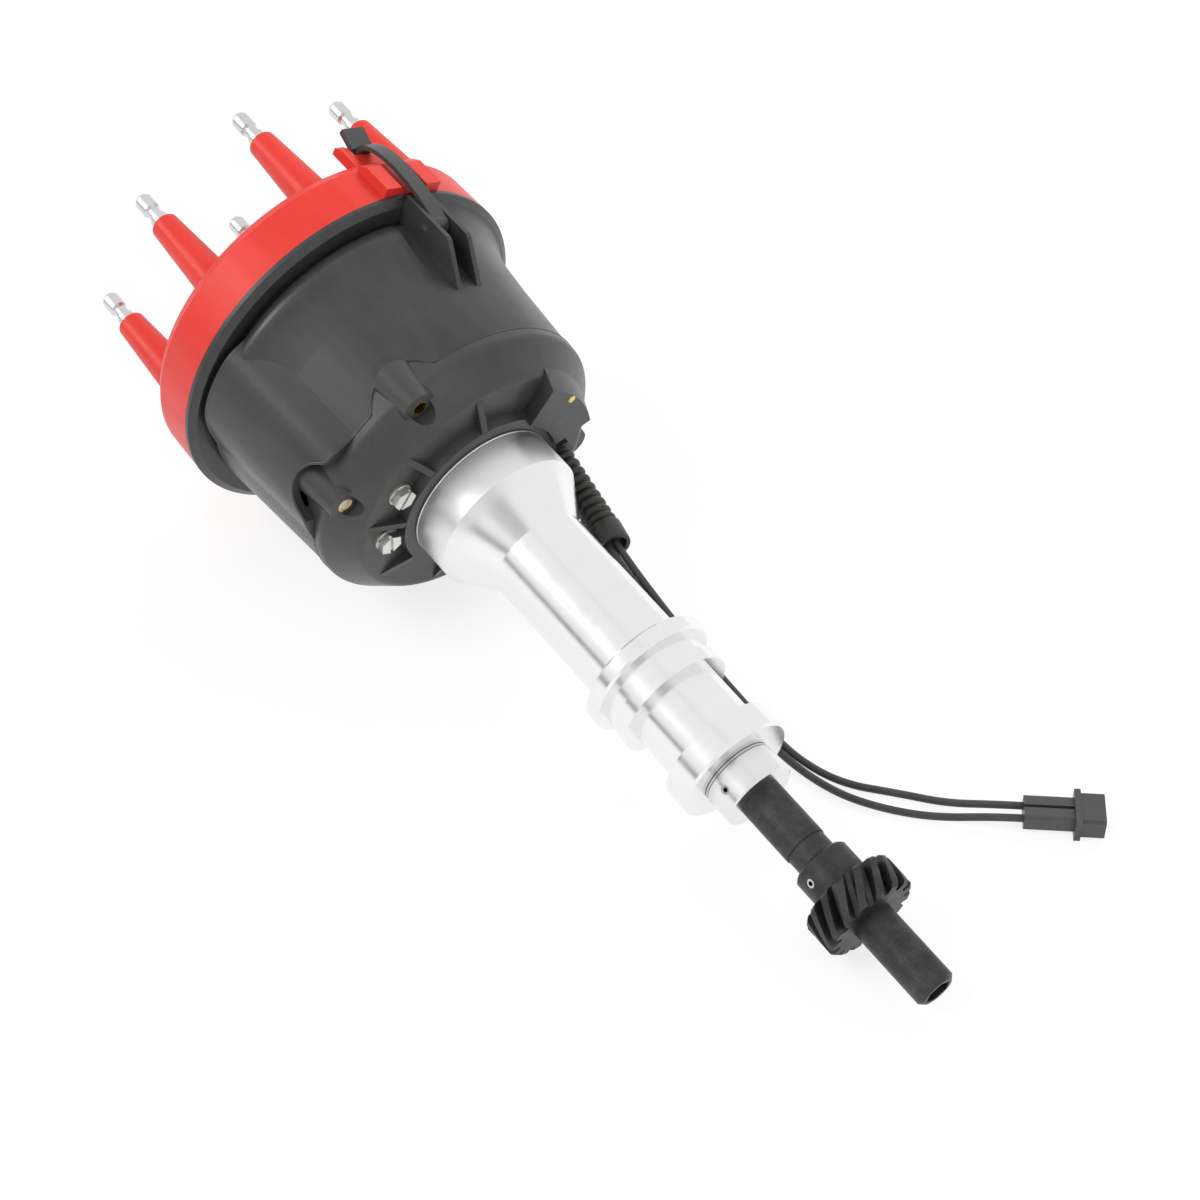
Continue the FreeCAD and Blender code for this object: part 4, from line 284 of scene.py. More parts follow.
turned_metal("turned_aluminium", colour(0.92, 0.92, 0.925), colour(0.84, 0.845, 0.85),
             0.20, 0.10, 0.014, 0.34, dull_from=108.0)
turned_metal("pale_steel", colour(0.88, 0.88, 0.885), colour(0.76, 0.765, 0.77),
             0.24, 0.12, 0.008, 0.4)
turned_metal("bearing_bronze", colour(0.62, 0.42, 0.22), colour(0.42, 0.27, 0.13),
             0.42, 0.2, 0.006, 0.5)
turned_metal("machined_brass", colour(0.86, 0.66, 0.30), colour(0.68, 0.49, 0.19),
             0.25, 0.2, 0.006, 0.4)
turned_metal("ground_steel", colour(0.68, 0.68, 0.69), colour(0.50, 0.50, 0.51),
             0.24, 0.16, 0.005, 0.3)
turned_metal("plated_post", colour(0.78, 0.78, 0.78), colour(0.60, 0.60, 0.60),
             0.28, 0.2, 0.005, 0.8)
print("turned finishes:", sorted(finishes))

# %% [markdown]
# The shaft and gear are steel with a black oxide skin. It is thin, so it keeps the tool's
# marks, and handling rubs it: the colour drifts between near black and a warm dark grey,
# and the rubbed places are a little smoother.

# %% Black oxide steel
oxide = Finish("black_oxide", Metallic=0.85)
fine, z = tool_marks(oxide, 0.45)
rubbed = oxide.noise(oxide.place(), 190.0, 4.0, 0.62)
speckle = oxide.noise(oxide.place(), 1500.0, 2.0)
shade = 0.55 * rubbed + 0.25 * fine + 0.2 * speckle
oxide.drive("Base Color", oxide.node(
    "ShaderNodeValToRGB",
    {"stops": [(0.30, (0.030, 0.030, 0.031)), (0.55, (0.060, 0.060, 0.062)),
               (0.80, (0.115, 0.113, 0.112))]}, {"Fac": shade}))
oxide.drive("Roughness", 0.50 - 0.22 * rubbed + 0.10 * speckle)
oxide.drive("Normal", oxide.bump(fine * 0.6 + speckle * 0.4, 0.012))
finishes["black_oxide"] = oxide.material

# %% [markdown]
# Screws, plates and weights are zinc plated. Zinc grows in small grains, each of which
# reflects a little differently, and it yellows slightly. A Voronoi texture has one random
# value per cell, which is just what a grain needs.

# %% Zinc plate
def plated(name, cool, warm, rough, grain_mm):
    finish = Finish(name, Metallic=1.0)
    grains = finish.node("ShaderNodeTexVoronoi", None,
                         {"Vector": finish.place(), "Scale": 1.0 / (grain_mm * MM)}, out="Color")
    grain = finish.node("ShaderNodeSeparateColor", None, {"Color": grains})
    age = finish.noise(finish.place(), 240.0, 3.0)
    finish.drive("Base Color", finish.blend(0.6 * age + 0.3 * grain, cool, warm))
    finish.drive("Roughness", rough + 0.16 * grain + 0.10 * age)
    finish.drive("Normal", finish.bump(finish.noise(finish.place(), 2600.0, 2.0), 0.012))
    finishes[name] = finish.material


plated("zinc_plate", colour(0.80, 0.81, 0.80), colour(0.66, 0.64, 0.56), 0.24, 0.5)
plated("cream_screw", colour(0.86, 0.83, 0.72), colour(0.74, 0.69, 0.56), 0.42, 0.4)
plated("drawn_spring_wire", colour(0.78, 0.78, 0.79), colour(0.62, 0.62, 0.62), 0.2, 0.3)

# %% [markdown]
# Moulded resin isn't metal: its colour is in the body and only a thin gloss sits on top.
# The mould's spark-eroded skin is a very fine grain, flow leaves faint lighter clouds, and
# dust settles as pale specks. The black shells are a little glossier than the red cap, so
# that their rounded edges take a sheen.

# %% Moulded resins
def moulded(name, body, cloud, rough, grain_mm, grain_depth_mm, speck):
    finish = Finish(name)
    spot = finish.place()
    flow = finish.noise(spot, 26.0, 4.0, 0.55)
    streak = finish.noise(finish.node("ShaderNodeVectorMath", {"operation": "MULTIPLY"},
                                      {0: finish.upright(), 1: (0.35, 0.35, 0.05)}), 0.6, 3.0)
    grain = finish.noise(spot, 1.0 / (grain_mm * MM), 2.0)
    dust = finish.noise(spot, 1700.0, 1.0).above(0.735)
    soft = finish.node("ShaderNodeMapRange", None,
                       {"Value": 0.6 * flow + 0.4 * streak, "From Min": 0.36, "From Max": 0.66})
    base = finish.blend(soft, body, cloud)
    finish.drive("Base Color", finish.blend(dust * speck, base, colour(0.42, 0.42, 0.40)))
    finish.drive("Roughness", rough + 0.10 * flow - 0.07 * streak + 0.08 * dust)
    swell = finish.bump(finish.noise(spot, 75.0, 1.0), 0.05)
    finish.drive("Normal", finish.bump(grain, grain_depth_mm, swell))
    finishes[name] = finish.material


moulded("black_shell", colour(0.022, 0.022, 0.023), colour(0.036, 0.036, 0.037),
        0.34, 0.12, 0.010, 0.05)
moulded("black_base", colour(0.028, 0.028, 0.029), colour(0.042, 0.042, 0.043),
        0.36, 0.12, 0.012, 0.05)
moulded("black_strap", colour(0.030, 0.030, 0.031), colour(0.042, 0.042, 0.043),
        0.36, 0.10, 0.008, 0.05)
moulded("connector_resin", colour(0.036, 0.036, 0.037), colour(0.050, 0.050, 0.051),
        0.36, 0.10, 0.010, 0.10)
moulded("red_cap", colour(0.54, 0.018, 0.010), colour(0.59, 0.030, 0.019),
        0.42, 0.16, 0.006, 0.03)
moulded("red_rotor", colour(0.58, 0.020, 0.012), colour(0.63, 0.030, 0.020),
        0.44, 0.16, 0.006, 0.03)
print("finishes so far:", len(finishes))

# %% [markdown]
# The boot's rubber has an olive cast, a dull skin and pale dust in its folds. The wires
# have a smoother jacket. Carbon, the magnet and the taped winding are hidden pieces, but
# each gets its own surface: sintered grains for the first two, and turns of tape for the
# last, which are bands across the winding's own axis.

# %% Rubber, wire jacket, carbon, magnet and tape
def soft_black(name, body, worn, rough, grain_mm, depth_mm):
    finish = Finish(name)
    grain = finish.noise(finish.place(), 1.0 / (grain_mm * MM), 3.0)
    bloom = finish.noise(finish.place(), 210.0, 4.0, 0.6)
    finish.drive("Base Color", finish.blend(bloom ** 2.0, body, worn))
    finish.drive("Roughness", rough + 0.18 * bloom)
    finish.drive("Normal", finish.bump(grain, depth_mm))
    finishes[name] = finish.material


soft_black("boot_rubber", colour(0.010, 0.010, 0.009), colour(0.032, 0.032, 0.027),
           0.36, 0.35, 0.02)
soft_black("wire_jacket", colour(0.026, 0.026, 0.027), colour(0.060, 0.060, 0.060),
           0.40, 0.25, 0.010)
soft_black("brush_carbon", colour(0.030, 0.030, 0.032), colour(0.065, 0.065, 0.068),
           0.45, 0.12, 0.010)
soft_black("magnet_block", colour(0.050, 0.048, 0.046), colour(0.100, 0.095, 0.090),
           0.55, 0.18, 0.015)

tape = Finish("winding_tape")
bands = tape.node("ShaderNodeTexWave", {"bands_direction": "X"},
                  {"Vector": tape.upright(), "Scale": 0.55, "Distortion": 0.8})
tape.drive("Base Color", tape.blend(bands, colour(0.050, 0.040, 0.020),
                                    colour(0.160, 0.120, 0.045)))
tape.drive("Roughness", 0.35 + 0.2 * bands)
tape.drive("Normal", tape.bump(bands, 0.05))
finishes["winding_tape"] = tape.material

# %% [markdown]
# Each CAD piece now takes its finish. The table says which, so that a reader can see at a
# glance what every piece of the distributor is made of.

# %% Dress the CAD pieces
dressed = {
    "turned_aluminium": ["shaft_housing"],
    "black_oxide": ["mainshaft", "drive_gear", "housing_snap_ring", "shaft_snap_ring"],
    "ground_steel": ["bearing_outer_race", "bearing_inner_race", "bearing_balls",
                     "bearing_cage", "thrust_washer", "collar_pin",
                     "gear_pin", "latch_pin_a", "latch_pin_b", "advance_sleeve",
                     "reluctor", "weight_pins", "pickup_pole"],
    "pale_steel": ["thrust_collar"],
    "bearing_bronze": ["lower_bushing"],
    "machined_brass": ["threaded_inserts", "rotor_contact", "connector_contacts"],
    "plated_post": ["plug_terminals", "coil_terminal"],
    "zinc_plate": ["head_screws", "hex_screws", "hex_screw_washers", "weight_plate",
                   "advance_weight_a", "advance_weight_b", "cam_plate", "cam_nut",
                   "rotor_screws", "pickup_plate", "pickup_bracket", "pickup_screws"],
    "cream_screw": ["adapter_screws"],
    "drawn_spring_wire": ["brush_spring", "advance_spring_a", "advance_spring_b"],
    "black_shell": ["cap_adapter"],
    "black_base": ["bowl_base", "stop_bushings", "coil_bobbin"],
    "black_strap": ["latch_a", "latch_b"],
    "connector_resin": ["connector_body"],
    "red_cap": ["distributor_cap"],
    "red_rotor": ["rotor_body"],
    "boot_rubber": ["cable_boot", "pickup_lead"],
    "wire_jacket": ["pickup_wire_a", "pickup_wire_b"],
    "brush_carbon": ["carbon_brush"],
    "magnet_block": ["pickup_magnet"],
    "winding_tape": ["pickup_winding"],
}
for finish_name, nodes in dressed.items():
    for node in nodes:
        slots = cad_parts[node].material_slots
        for slot in slots:
            slot.material = finishes[finish_name]
bare = set(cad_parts) - {n for nodes in dressed.values() for n in nodes}
print("pieces without a finish:", sorted(bare))

# %% [markdown]
# The lead is two thin wires that leave the boot's cuff, drop to the bench and run to the
# connector side by side. A wire is a fixed length of something springy, so it is drawn as
# one smooth NURBS line through its control points, with a round bevel for its thickness.

# %% The two wires
WIRE_R = 1.25
far_wire = [(-1.73, 27.73, 39.90), (5.97, 25.73, 39.03), (25.23, 31.80, 19.00),
            (44.23, 37.00, 4.20), (63.23, 36.00, 1.55), (81.23, 34.30, 1.25),
            (98.83, 38.20, 1.25), (113.23, 49.40, 1.25), (125.83, 58.20, 1.45),
            (137.12, 67.26, 4.40), (143.26, 73.84, 4.40)]
near_wire = [(-2.43, 25.02, 39.90), (5.27, 23.02, 39.03), (25.23, 29.00, 19.00),
             (44.23, 34.20, 4.20), (63.23, 33.20, 1.55), (81.23, 31.50, 1.25),
             (99.83, 34.00, 1.25), (113.83, 40.60, 1.25), (127.63, 51.00, 1.45),
             (140.85, 63.78, 4.40), (146.99, 70.36, 4.40)]


def wire(name, route, node):
    line = bpy.data.curves.new(name, "CURVE")
    line.dimensions = "3D"
    line.bevel_depth = WIRE_R * MM
    line.bevel_resolution = 6
    line.resolution_u = 16
    line.use_fill_caps = True
    spline = line.splines.new("NURBS")
    spline.points.add(len(route) - 1)
    for point, spot in zip(spline.points, route):
        point.co = (*on_bench(*spot), 1.0)
    spline.order_u = 3
    spline.use_endpoint_u = True
    line.materials.append(finishes["wire_jacket"])
    piece = bpy.data.objects.new(name, line)
    scene.collection.objects.link(piece)
    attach(piece, "housing")
    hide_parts(node)


wire("wire_far", far_wire, "pickup_wire_a")
wire("wire_near", near_wire, "pickup_wire_b")
print("two wires laid")

# %% [markdown]
# New solid pieces start as a profile, a row of points joined by edges. A full spin round
# the z axis turns the profile into a closed skin, as a lathe or a round mould would. The
# helper below does that, recalculates the normals, and lays the piece on the bench.

# %% Helpers for new pieces
def spun(mesh, profile, steps):
    verts = [mesh.verts.new((r, 0.0, z)) for r, z in profile]
    edges = [mesh.edges.new(pair) for pair in zip(verts, verts[1:])]
    bmesh.ops.spin(mesh, geom=verts + edges, cent=(0, 0, 0), axis=(0, 0, 1),
                   angle=2.0 * math.pi, steps=steps, use_merge=True)
    bmesh.ops.remove_doubles(mesh, verts=mesh.verts, dist=1e-5)
    bmesh.ops.recalc_face_normals(mesh, faces=mesh.faces)


def finished(mesh, name, finish_name, body, replaced=(), place=laid):
    # a piece given no body here is attached to none
    mesh.transform(place)
    data = bpy.data.meshes.new(name)
    mesh.to_mesh(data)
    mesh.free()
    for face in data.polygons:
        face.use_smooth = True
    data.materials.append(finishes[finish_name])
    piece = bpy.data.objects.new(name, data)
    scene.collection.objects.link(piece)
    if body:
        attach(piece, body)
    if replaced:
        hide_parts(*replaced)
    print(name, "has", len(data.polygons), "faces")
    return piece


# %% [markdown]
# The rubber boot is a bellows: soft rings that grow towards a plain cuff, so that the
# lead can bend without kinking. The rings are round outside and pinched between. It is
# moulded straight and bends where the lead pulls it, so the model is spun straight and
# then each ring of points moves to its place along a curve.

# %% The boot's middle line
BOOT_NECK = Vector((-5.08, 34.02, 130.80))
BOOT_BEND = Vector((-8.13, 32.60, 118.00))
BOOT_END = Vector((-5.92, 25.63, 91.00))
BOOT_RINGS = 9
CUFF_R = 6.0
CUFF_LENGTH = 9.0
CUFF_WALL = 1.5
CURVE_STEPS = 200


def boot_curve(share):
    # a point of the boot's middle line and its direction; share runs from neck to mouth
    ease = 1.0 - share
    spot = BOOT_NECK * ease ** 2 + BOOT_BEND * (2.0 * share * ease) + BOOT_END * share ** 2
    way = (BOOT_BEND - BOOT_NECK) * ease + (BOOT_END - BOOT_BEND) * share
    return spot, way.normalized()


def arc_share(distance):
    # the share of the curve's parameter at which that length has been run
    run, last = 0.0, boot_curve(0.0)[0]
    for k in range(1, CURVE_STEPS + 1):
        here = boot_curve(k / CURVE_STEPS)[0]
        run += (here - last).length
        if run >= distance:
            return k / CURVE_STEPS
        last = here
    return 1.0


milestones = [boot_curve(k / CURVE_STEPS)[0] for k in range(CURVE_STEPS + 1)]
boot_length = sum((there - here).length for here, there in zip(milestones, milestones[1:]))
print("the boot's middle line is", round(boot_length, 1), "mm long")

# %% The bellows boot
CREST_R, CREST_GROWTH = 4.4, 1.2      # the first ring, and how much wider the last one is
VALLEY_R, VALLEY_GROWTH = 2.8, 0.9
RING_STEPS = 10
RING_FULLNESS = 0.55                  # below 1 the rings are fuller than a sine wave
ring_pitch = (boot_length - CUFF_LENGTH) / BOOT_RINGS
profile = [(0.0, -0.8), (3.4, -0.8), (3.4, 0.0)]
for k in range(BOOT_RINGS):
    crest = CREST_R + CREST_GROWTH * k / (BOOT_RINGS - 1)
    valley = VALLEY_R + VALLEY_GROWTH * k / (BOOT_RINGS - 1)
    for j in range(RING_STEPS):
        wave = math.sin(math.pi * (j + 0.5) / RING_STEPS) ** RING_FULLNESS
        height = (k + (j + 0.5) / RING_STEPS) * ring_pitch
        profile.append((valley + (crest - valley) * wave, height))
cuff_low = boot_length - CUFF_LENGTH
mouth_r = CUFF_R - CUFF_WALL
profile += [(3.9, cuff_low + 0.1), (CUFF_R - 0.5, cuff_low + 0.35),
            (CUFF_R - 0.12, cuff_low + 0.7), (CUFF_R, cuff_low + 1.2),
            (CUFF_R, boot_length - 0.6), (CUFF_R - 0.15, boot_length - 0.2),
            (CUFF_R - 0.6, boot_length), (mouth_r + 0.2, boot_length),
            (mouth_r, boot_length - 0.3), (mouth_r, boot_length - 2.9),
            (0.0, boot_length - 3.0)]
bellows = bmesh.new()
spun(bellows, profile, 56)
for vert in bellows.verts:
    height = vert.co.z
    spot, way = boot_curve(arc_share(height) if height > 0.0 else 0.0)
    side = way.cross(Vector((0.0, 1.0, 0.0))).normalized()
    spill = min(height, 0.0)
    vert.co = spot + side * vert.co.x + way.cross(side) * vert.co.y + way * spill
NECK_R = 3.8
NECK_COLLAR_R = 5.6
NUT_ACROSS_FLATS = 10.0
NUT_R = NUT_ACROSS_FLATS / math.sqrt(3.0)
NECK_FOOT = polar(34.4, 98.5, 0.0)
for radius, sides, low, high in ((NUT_R, 6, 130.8, 133.2), (NECK_R, 48, 133.1, 136.1),
                                 (NECK_COLLAR_R, 48, 136.0, 137.6)):
    stand = Matrix.Translation(NECK_FOOT + Vector((0, 0, 0.5 * (low + high))))
    bmesh.ops.create_cone(bellows, cap_ends=True, segments=sides, radius1=radius,
                          radius2=radius, depth=high - low, matrix=stand)
bmesh.ops.recalc_face_normals(bellows, faces=bellows.faces)
boot = finished(bellows, "boot_bellows", "boot_rubber", "housing", ["cable_boot"])
boot.data.set_sharp_from_angle(angle=math.radians(50.0))

# %% [markdown]
# A wound spring is a small circle spun round an axis while it climbs: the spin operator takes a
# step vector for that. The brush spring presses the carbon on the rotor.

# %% The brush spring
def wire_circle(mesh, wire_r, middle):
    # a small circle that stands upright, to be spun round an upright axis
    stand = Matrix.Translation(middle) @ Matrix.Rotation(math.pi / 2.0, 4, "X")
    verts = bmesh.ops.create_circle(mesh, segments=10, radius=wire_r, matrix=stand)["verts"]
    return verts + list({e for v in verts for e in v.link_edges})


def coil(mesh, coil_r, wire_r, low, high, turns):
    start = wire_circle(mesh, wire_r, Vector((coil_r - wire_r, 0, low + wire_r)))
    steps = 24 * turns
    climb = (high - low - 2.0 * wire_r) / steps
    bmesh.ops.spin(mesh, geom=start, cent=(0, 0, 0), axis=(0, 0, 1),
                   angle=2.0 * math.pi * turns, steps=steps, dvec=(0, 0, climb))
    bmesh.ops.holes_fill(mesh, edges=[e for e in mesh.edges if e.is_boundary], sides=0)
    bmesh.ops.recalc_face_normals(mesh, faces=mesh.faces)


BRUSH_COIL_R = 2.1
BRUSH_WIRE_R = 0.3
BRUSH_TURNS = 7
SPRING_LOW_Z = 223.4
SPRING_TOP_Z = 232.0
spring = bmesh.new()
coil(spring, BRUSH_COIL_R, BRUSH_WIRE_R, SPRING_LOW_Z, SPRING_TOP_Z, BRUSH_TURNS)
brush_coil = finished(spring, "brush_coil", "drawn_spring_wire", "housing",
                      ["brush_spring"])
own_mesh(brush_coil)

# %% [markdown]
# The two advance springs pull the weights in. One eye holds a pin of the weight plate and the
# other a post of the cam, which belong to different bodies, so neither spring is attached to a
# body.

# %% The advance springs
SPRING_Z = 166.20
PLATE_PIN = Vector((22.0, 0.0, SPRING_Z))
CAM_POST = Vector((12.2, -9.9, SPRING_Z))
PLATE_PIN_R = 2.0
CAM_POST_R = 1.2
PULL_WIRE_R = 0.45
PULL_COIL_R = 2.0
PULL_TURNS = 7
EYE_OFF = 0.5                 # from a pin's face to the middle of the wire round it
HOOK = 1.4                    # from a pin's face to the coil's end
LINK_R = 0.8 * PULL_WIRE_R    # the short wires between an eye and the coil


def stick(mesh, start, end, radius):
    turn = (end - start).to_track_quat("Z", "Y").to_matrix().to_4x4()
    bmesh.ops.create_cone(mesh, cap_ends=True, segments=12, radius1=radius, radius2=radius,
                          depth=(end - start).length,
                          matrix=Matrix.Translation((start + end) * 0.5) @ turn)


def pull_spring(name, node, angle):
    along = (CAM_POST - PLATE_PIN).normalized()
    aside = along.cross(Vector((0.0, 0.0, 1.0)))
    first = PLATE_PIN + along * (PLATE_PIN_R + HOOK)
    last = CAM_POST - along * (CAM_POST_R + HOOK)
    mesh = bmesh.new()
    coil(mesh, PULL_COIL_R, PULL_WIRE_R, 0.0, (last - first).length, PULL_TURNS)
    reach = PULL_COIL_R - PULL_WIRE_R
    mesh.transform(Matrix.Translation(first)
                   @ Matrix((aside, along.cross(aside), along)).transposed().to_4x4())
    for holder, r, way, end in ((PLATE_PIN, PLATE_PIN_R, along, first),
                                (CAM_POST, CAM_POST_R, -along, last)):
        eye = wire_circle(mesh, PULL_WIRE_R, holder + Vector((r + EYE_OFF, 0, 0)))
        bmesh.ops.spin(mesh, geom=eye, cent=holder, axis=(0, 0, 1),
                       angle=2.0 * math.pi, steps=32, use_merge=True)
        hub = end + way * PULL_WIRE_R
        stick(mesh, holder + way * (r + EYE_OFF), hub, LINK_R)
        stick(mesh, hub, hub + aside * reach, LINK_R)
    bmesh.ops.remove_doubles(mesh, verts=mesh.verts, dist=1e-5)
    bmesh.ops.recalc_face_normals(mesh, faces=mesh.faces)
    place = laid @ Matrix.Rotation(math.radians(angle), 4, "Z")
    piece = finished(mesh, name, "drawn_spring_wire", None, [node], place)
    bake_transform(piece)


pull_spring("advance_coil_a", "advance_spring_a", 10.0)
pull_spring("advance_coil_b", "advance_spring_b", 190.0)

# %% [markdown]
# The adapter's mouldings end in soft edges, where a mould is rounded so that the part lets
# go of it: a lip along the seam that follows each arch, a rounded shoulder under the rim,
# and a flare on the far side of the latch. CAD keeps them as plain edges. To lay a lip on
# the real surface, a ray is sent inwards at the adapter, and the lip lies where it lands.

# %% Where the adapter's skin is
SEAM_Z = 146.7
BOSS_ANGLES = (-25.0, -72.0, 109.0, 155.0)
ARCH_RISE = 7.8
ARCH_HALF = 12.5
ARCH_R = (ARCH_HALF ** 2 + ARCH_RISE ** 2) / (2.0 * ARCH_RISE)
FAR_OUT = 80.0
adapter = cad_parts["cap_adapter"]
bench_to_upright = laid.inverted()


def skin_r(degrees, z):
    inwards = laid_turn @ polar(-1.0, degrees, 0.0)
    found, spot, facing, index = adapter.ray_cast(laid @ polar(FAR_OUT, degrees, z), inwards)
    spot = bench_to_upright @ spot
    return math.hypot(spot.x, spot.y)


def seam_z(degrees):
    # the seam rises over each screw boss in an arch
    arch_top = SEAM_Z + ARCH_RISE
    height = SEAM_Z
    for boss in BOSS_ANGLES:
        turn = math.radians((degrees - boss + 180.0) % 360.0 - 180.0)
        aside = skin_r(boss, arch_top + 2.0) * math.sin(turn)
        if abs(aside) < ARCH_HALF and abs(turn) < 1.0:
            arch = arch_top - ARCH_R + math.sqrt(ARCH_R ** 2 - aside ** 2)
            height = max(height, arch)
    return height


print("the cone's skin just above the seam:", round(skin_r(60.0, SEAM_Z + 1.0), 2), "mm out")

# %% [markdown]
# A lip or a rounded edge is a thin bead that runs along a line. A NURBS curve with a round
# bevel is the plainest way to lay one: its points lie on the skin and the curve rounds the
# corners where an arch meets the straight seam.

# %% The seam lip and the lobe's upper edge
def bead(name, route, radius_mm, cyclic, finish_name="black_shell"):
    # a round bead through the points of the route, in the upright frame
    line = bpy.data.curves.new(name, "CURVE")
    line.dimensions = "3D"
    line.bevel_depth = radius_mm * MM
    line.bevel_resolution = 3
    line.resolution_u = 3
    line.use_fill_caps = True
    spline = line.splines.new("NURBS")
    spline.points.add(len(route) - 1)
    for point, spot in zip(spline.points, route):
        point.co = (*(laid @ spot), 1.0)
    spline.order_u = 3
    spline.use_endpoint_u = not cyclic
    spline.use_cyclic_u = cyclic
    line.materials.append(finishes[finish_name])
    piece = bpy.data.objects.new(name, line)
    scene.collection.objects.link(piece)
    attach(piece, "housing")


LIP_BEAD = 0.55
lip = []
for degrees in range(0, 360, 2):
    z = seam_z(degrees) + 0.9 * LIP_BEAD
    lip.append(polar(skin_r(degrees, z + 0.5) - 0.1, degrees, z))
bead("seam_lip", lip, LIP_BEAD, True)
CREST_BEAD = 0.8
CREST_Z = 197.3
SKIN_Z = 196.6                # just under the crest, where the ray meets the lobe's wall
crest = [polar(skin_r(degrees, SKIN_Z) - 0.75 * CREST_BEAD, degrees, CREST_Z)
         for degrees in range(-104, -40, 2)]
bead("lobe_crest", crest, CREST_BEAD, False)
print("lip of", len(lip), "points and crest of", len(crest))

# %% The bright edge of the aluminium head
HEAD_R = 26.3
HEAD_TOP_Z = 129.4
HEAD_BEAD = 0.6
head_ring = [polar(HEAD_R - 0.45, degrees, HEAD_TOP_Z - 0.5) for degrees in range(0, 360, 4)]
bead("head_edge", head_ring, HEAD_BEAD, True, "turned_aluminium")
print("head edge of", len(head_ring), "points")

# %% [markdown]
# The shoulder and the flare are wider than a bead and change along their way. Each is one
# section, a closed row of points, spun over a part of a turn. Then every point that stands
# off the cone is drawn back by the share that its angle asks for, so that the shape runs
# out softly instead of ending in a step.

# %% The shoulder under the rim
FACE_LOW_R = 53.6
FACE_TOP_R = 57.3
RIM_LOW_Z = 200.8


def face_r(z):
    return FACE_LOW_R + (FACE_TOP_R - FACE_LOW_R) * (z - SEAM_Z) / (RIM_LOW_Z - SEAM_Z)


def swept(name, section, start, end, fullness):
    # the section is a row of points: how far each stands off the cone, and its height
    mesh = bmesh.new()
    verts = [mesh.verts.new((face_r(z) + out, 0.0, z)) for out, z in section]
    edges = [mesh.edges.new(pair) for pair in zip(verts, verts[1:] + verts[:1])]
    bmesh.ops.rotate(mesh, verts=verts, cent=(0, 0, 0),
                     matrix=Matrix.Rotation(math.radians(start), 3, "Z"))
    steps = int(abs(end - start))
    bmesh.ops.spin(mesh, geom=verts + edges, cent=(0, 0, 0), axis=(0, 0, 1),
                   angle=math.radians(end - start), steps=steps)
    bmesh.ops.holes_fill(mesh, edges=[e for e in mesh.edges if e.is_boundary], sides=0)
    for vert in mesh.verts:
        r = math.hypot(vert.co.x, vert.co.y)
        off = r - face_r(vert.co.z)
        if off > 0.0:
            degrees = math.degrees(math.atan2(vert.co.y, vert.co.x))
            vert.co.xy *= (r - off * (1.0 - fullness(degrees))) / r
    bmesh.ops.recalc_face_normals(mesh, faces=mesh.faces)
    piece = finished(mesh, name, "black_shell", "housing")
    piece.data.set_sharp_from_angle(angle=math.radians(40.0))


def shoulder_fullness(degrees):
    # full at the lobe, half as full beside the latch
    return 1.0 - 0.5 * max(0.0, (degrees + 40.0) / 50.0)


SHOULDER_R = 7.0
SHOULDER_OUT = 3.6
SHOULDER_LOW_Z = 174.0
SHOULDER_ROUND_Z = 193.0      # where the slope ends and the rounding starts
shoulder = [(-0.3, SHOULDER_LOW_Z), (-0.05, 178.0), (0.2, 181.0), (0.6, 184.0), (1.2, 187.0),
            (2.1, 189.5), (3.0, 191.6)]
for k in range(9):
    turn = math.radians(90.0 * k / 8.0)
    shoulder.append((SHOULDER_OUT - SHOULDER_R * (1.0 - math.cos(turn)),
                     SHOULDER_ROUND_Z + SHOULDER_R * math.sin(turn)))
shoulder += [(-4.0, SHOULDER_ROUND_Z + SHOULDER_R), (-4.0, SHOULDER_LOW_Z)]
swept("adapter_shoulder", shoulder, -58.0, 10.0, shoulder_fullness)

# %% The flare
FLARE_OUT = 5.2
FLARE_FOOT_Z = 168.0
FLARE_LOW_Z = 178.0
FLARE_START = 30.0
FLARE_END = 122.0
FLARE_FADE = 12.0             # the degrees over which it runs out


def flare_fullness(degrees):
    return min(1.0, max(0.0, (FLARE_END - degrees) / FLARE_FADE))


flare = [(-0.4, FLARE_FOOT_Z), (-0.1, 174.0)]
for k in range(12):
    turn = math.radians(90.0 * k / 11.0)
    flare.append((0.05 + FLARE_OUT * (1.0 - math.cos(turn)),
                  FLARE_LOW_Z + (RIM_LOW_Z - FLARE_LOW_Z) * math.sin(turn)))
flare += [(FLARE_OUT, RIM_LOW_Z + 0.3), (-2.0, RIM_LOW_Z + 0.3), (-2.0, FLARE_FOOT_Z)]
swept("rim_flare", flare, FLARE_START, FLARE_END, flare_fullness)

# %% [markdown]
# The dab of yellow paint has no CAD piece either. It sits on the flat pad under the bowl,
# so a ray is sent at the pad and the dab is laid where it lands, a few hundredths of a
# millimetre proud.

# %% The paint dab
paint = Finish("yellow_paint", Roughness=0.45)
edge = paint.noise(paint.place(), 900.0, 2.0)
paint.drive("Base Color", paint.blend(edge, colour(0.80, 0.60, 0.09), colour(0.88, 0.70, 0.16)))
paint.drive("Normal", paint.bump(edge, 0.03))
finishes["yellow_paint"] = paint.material

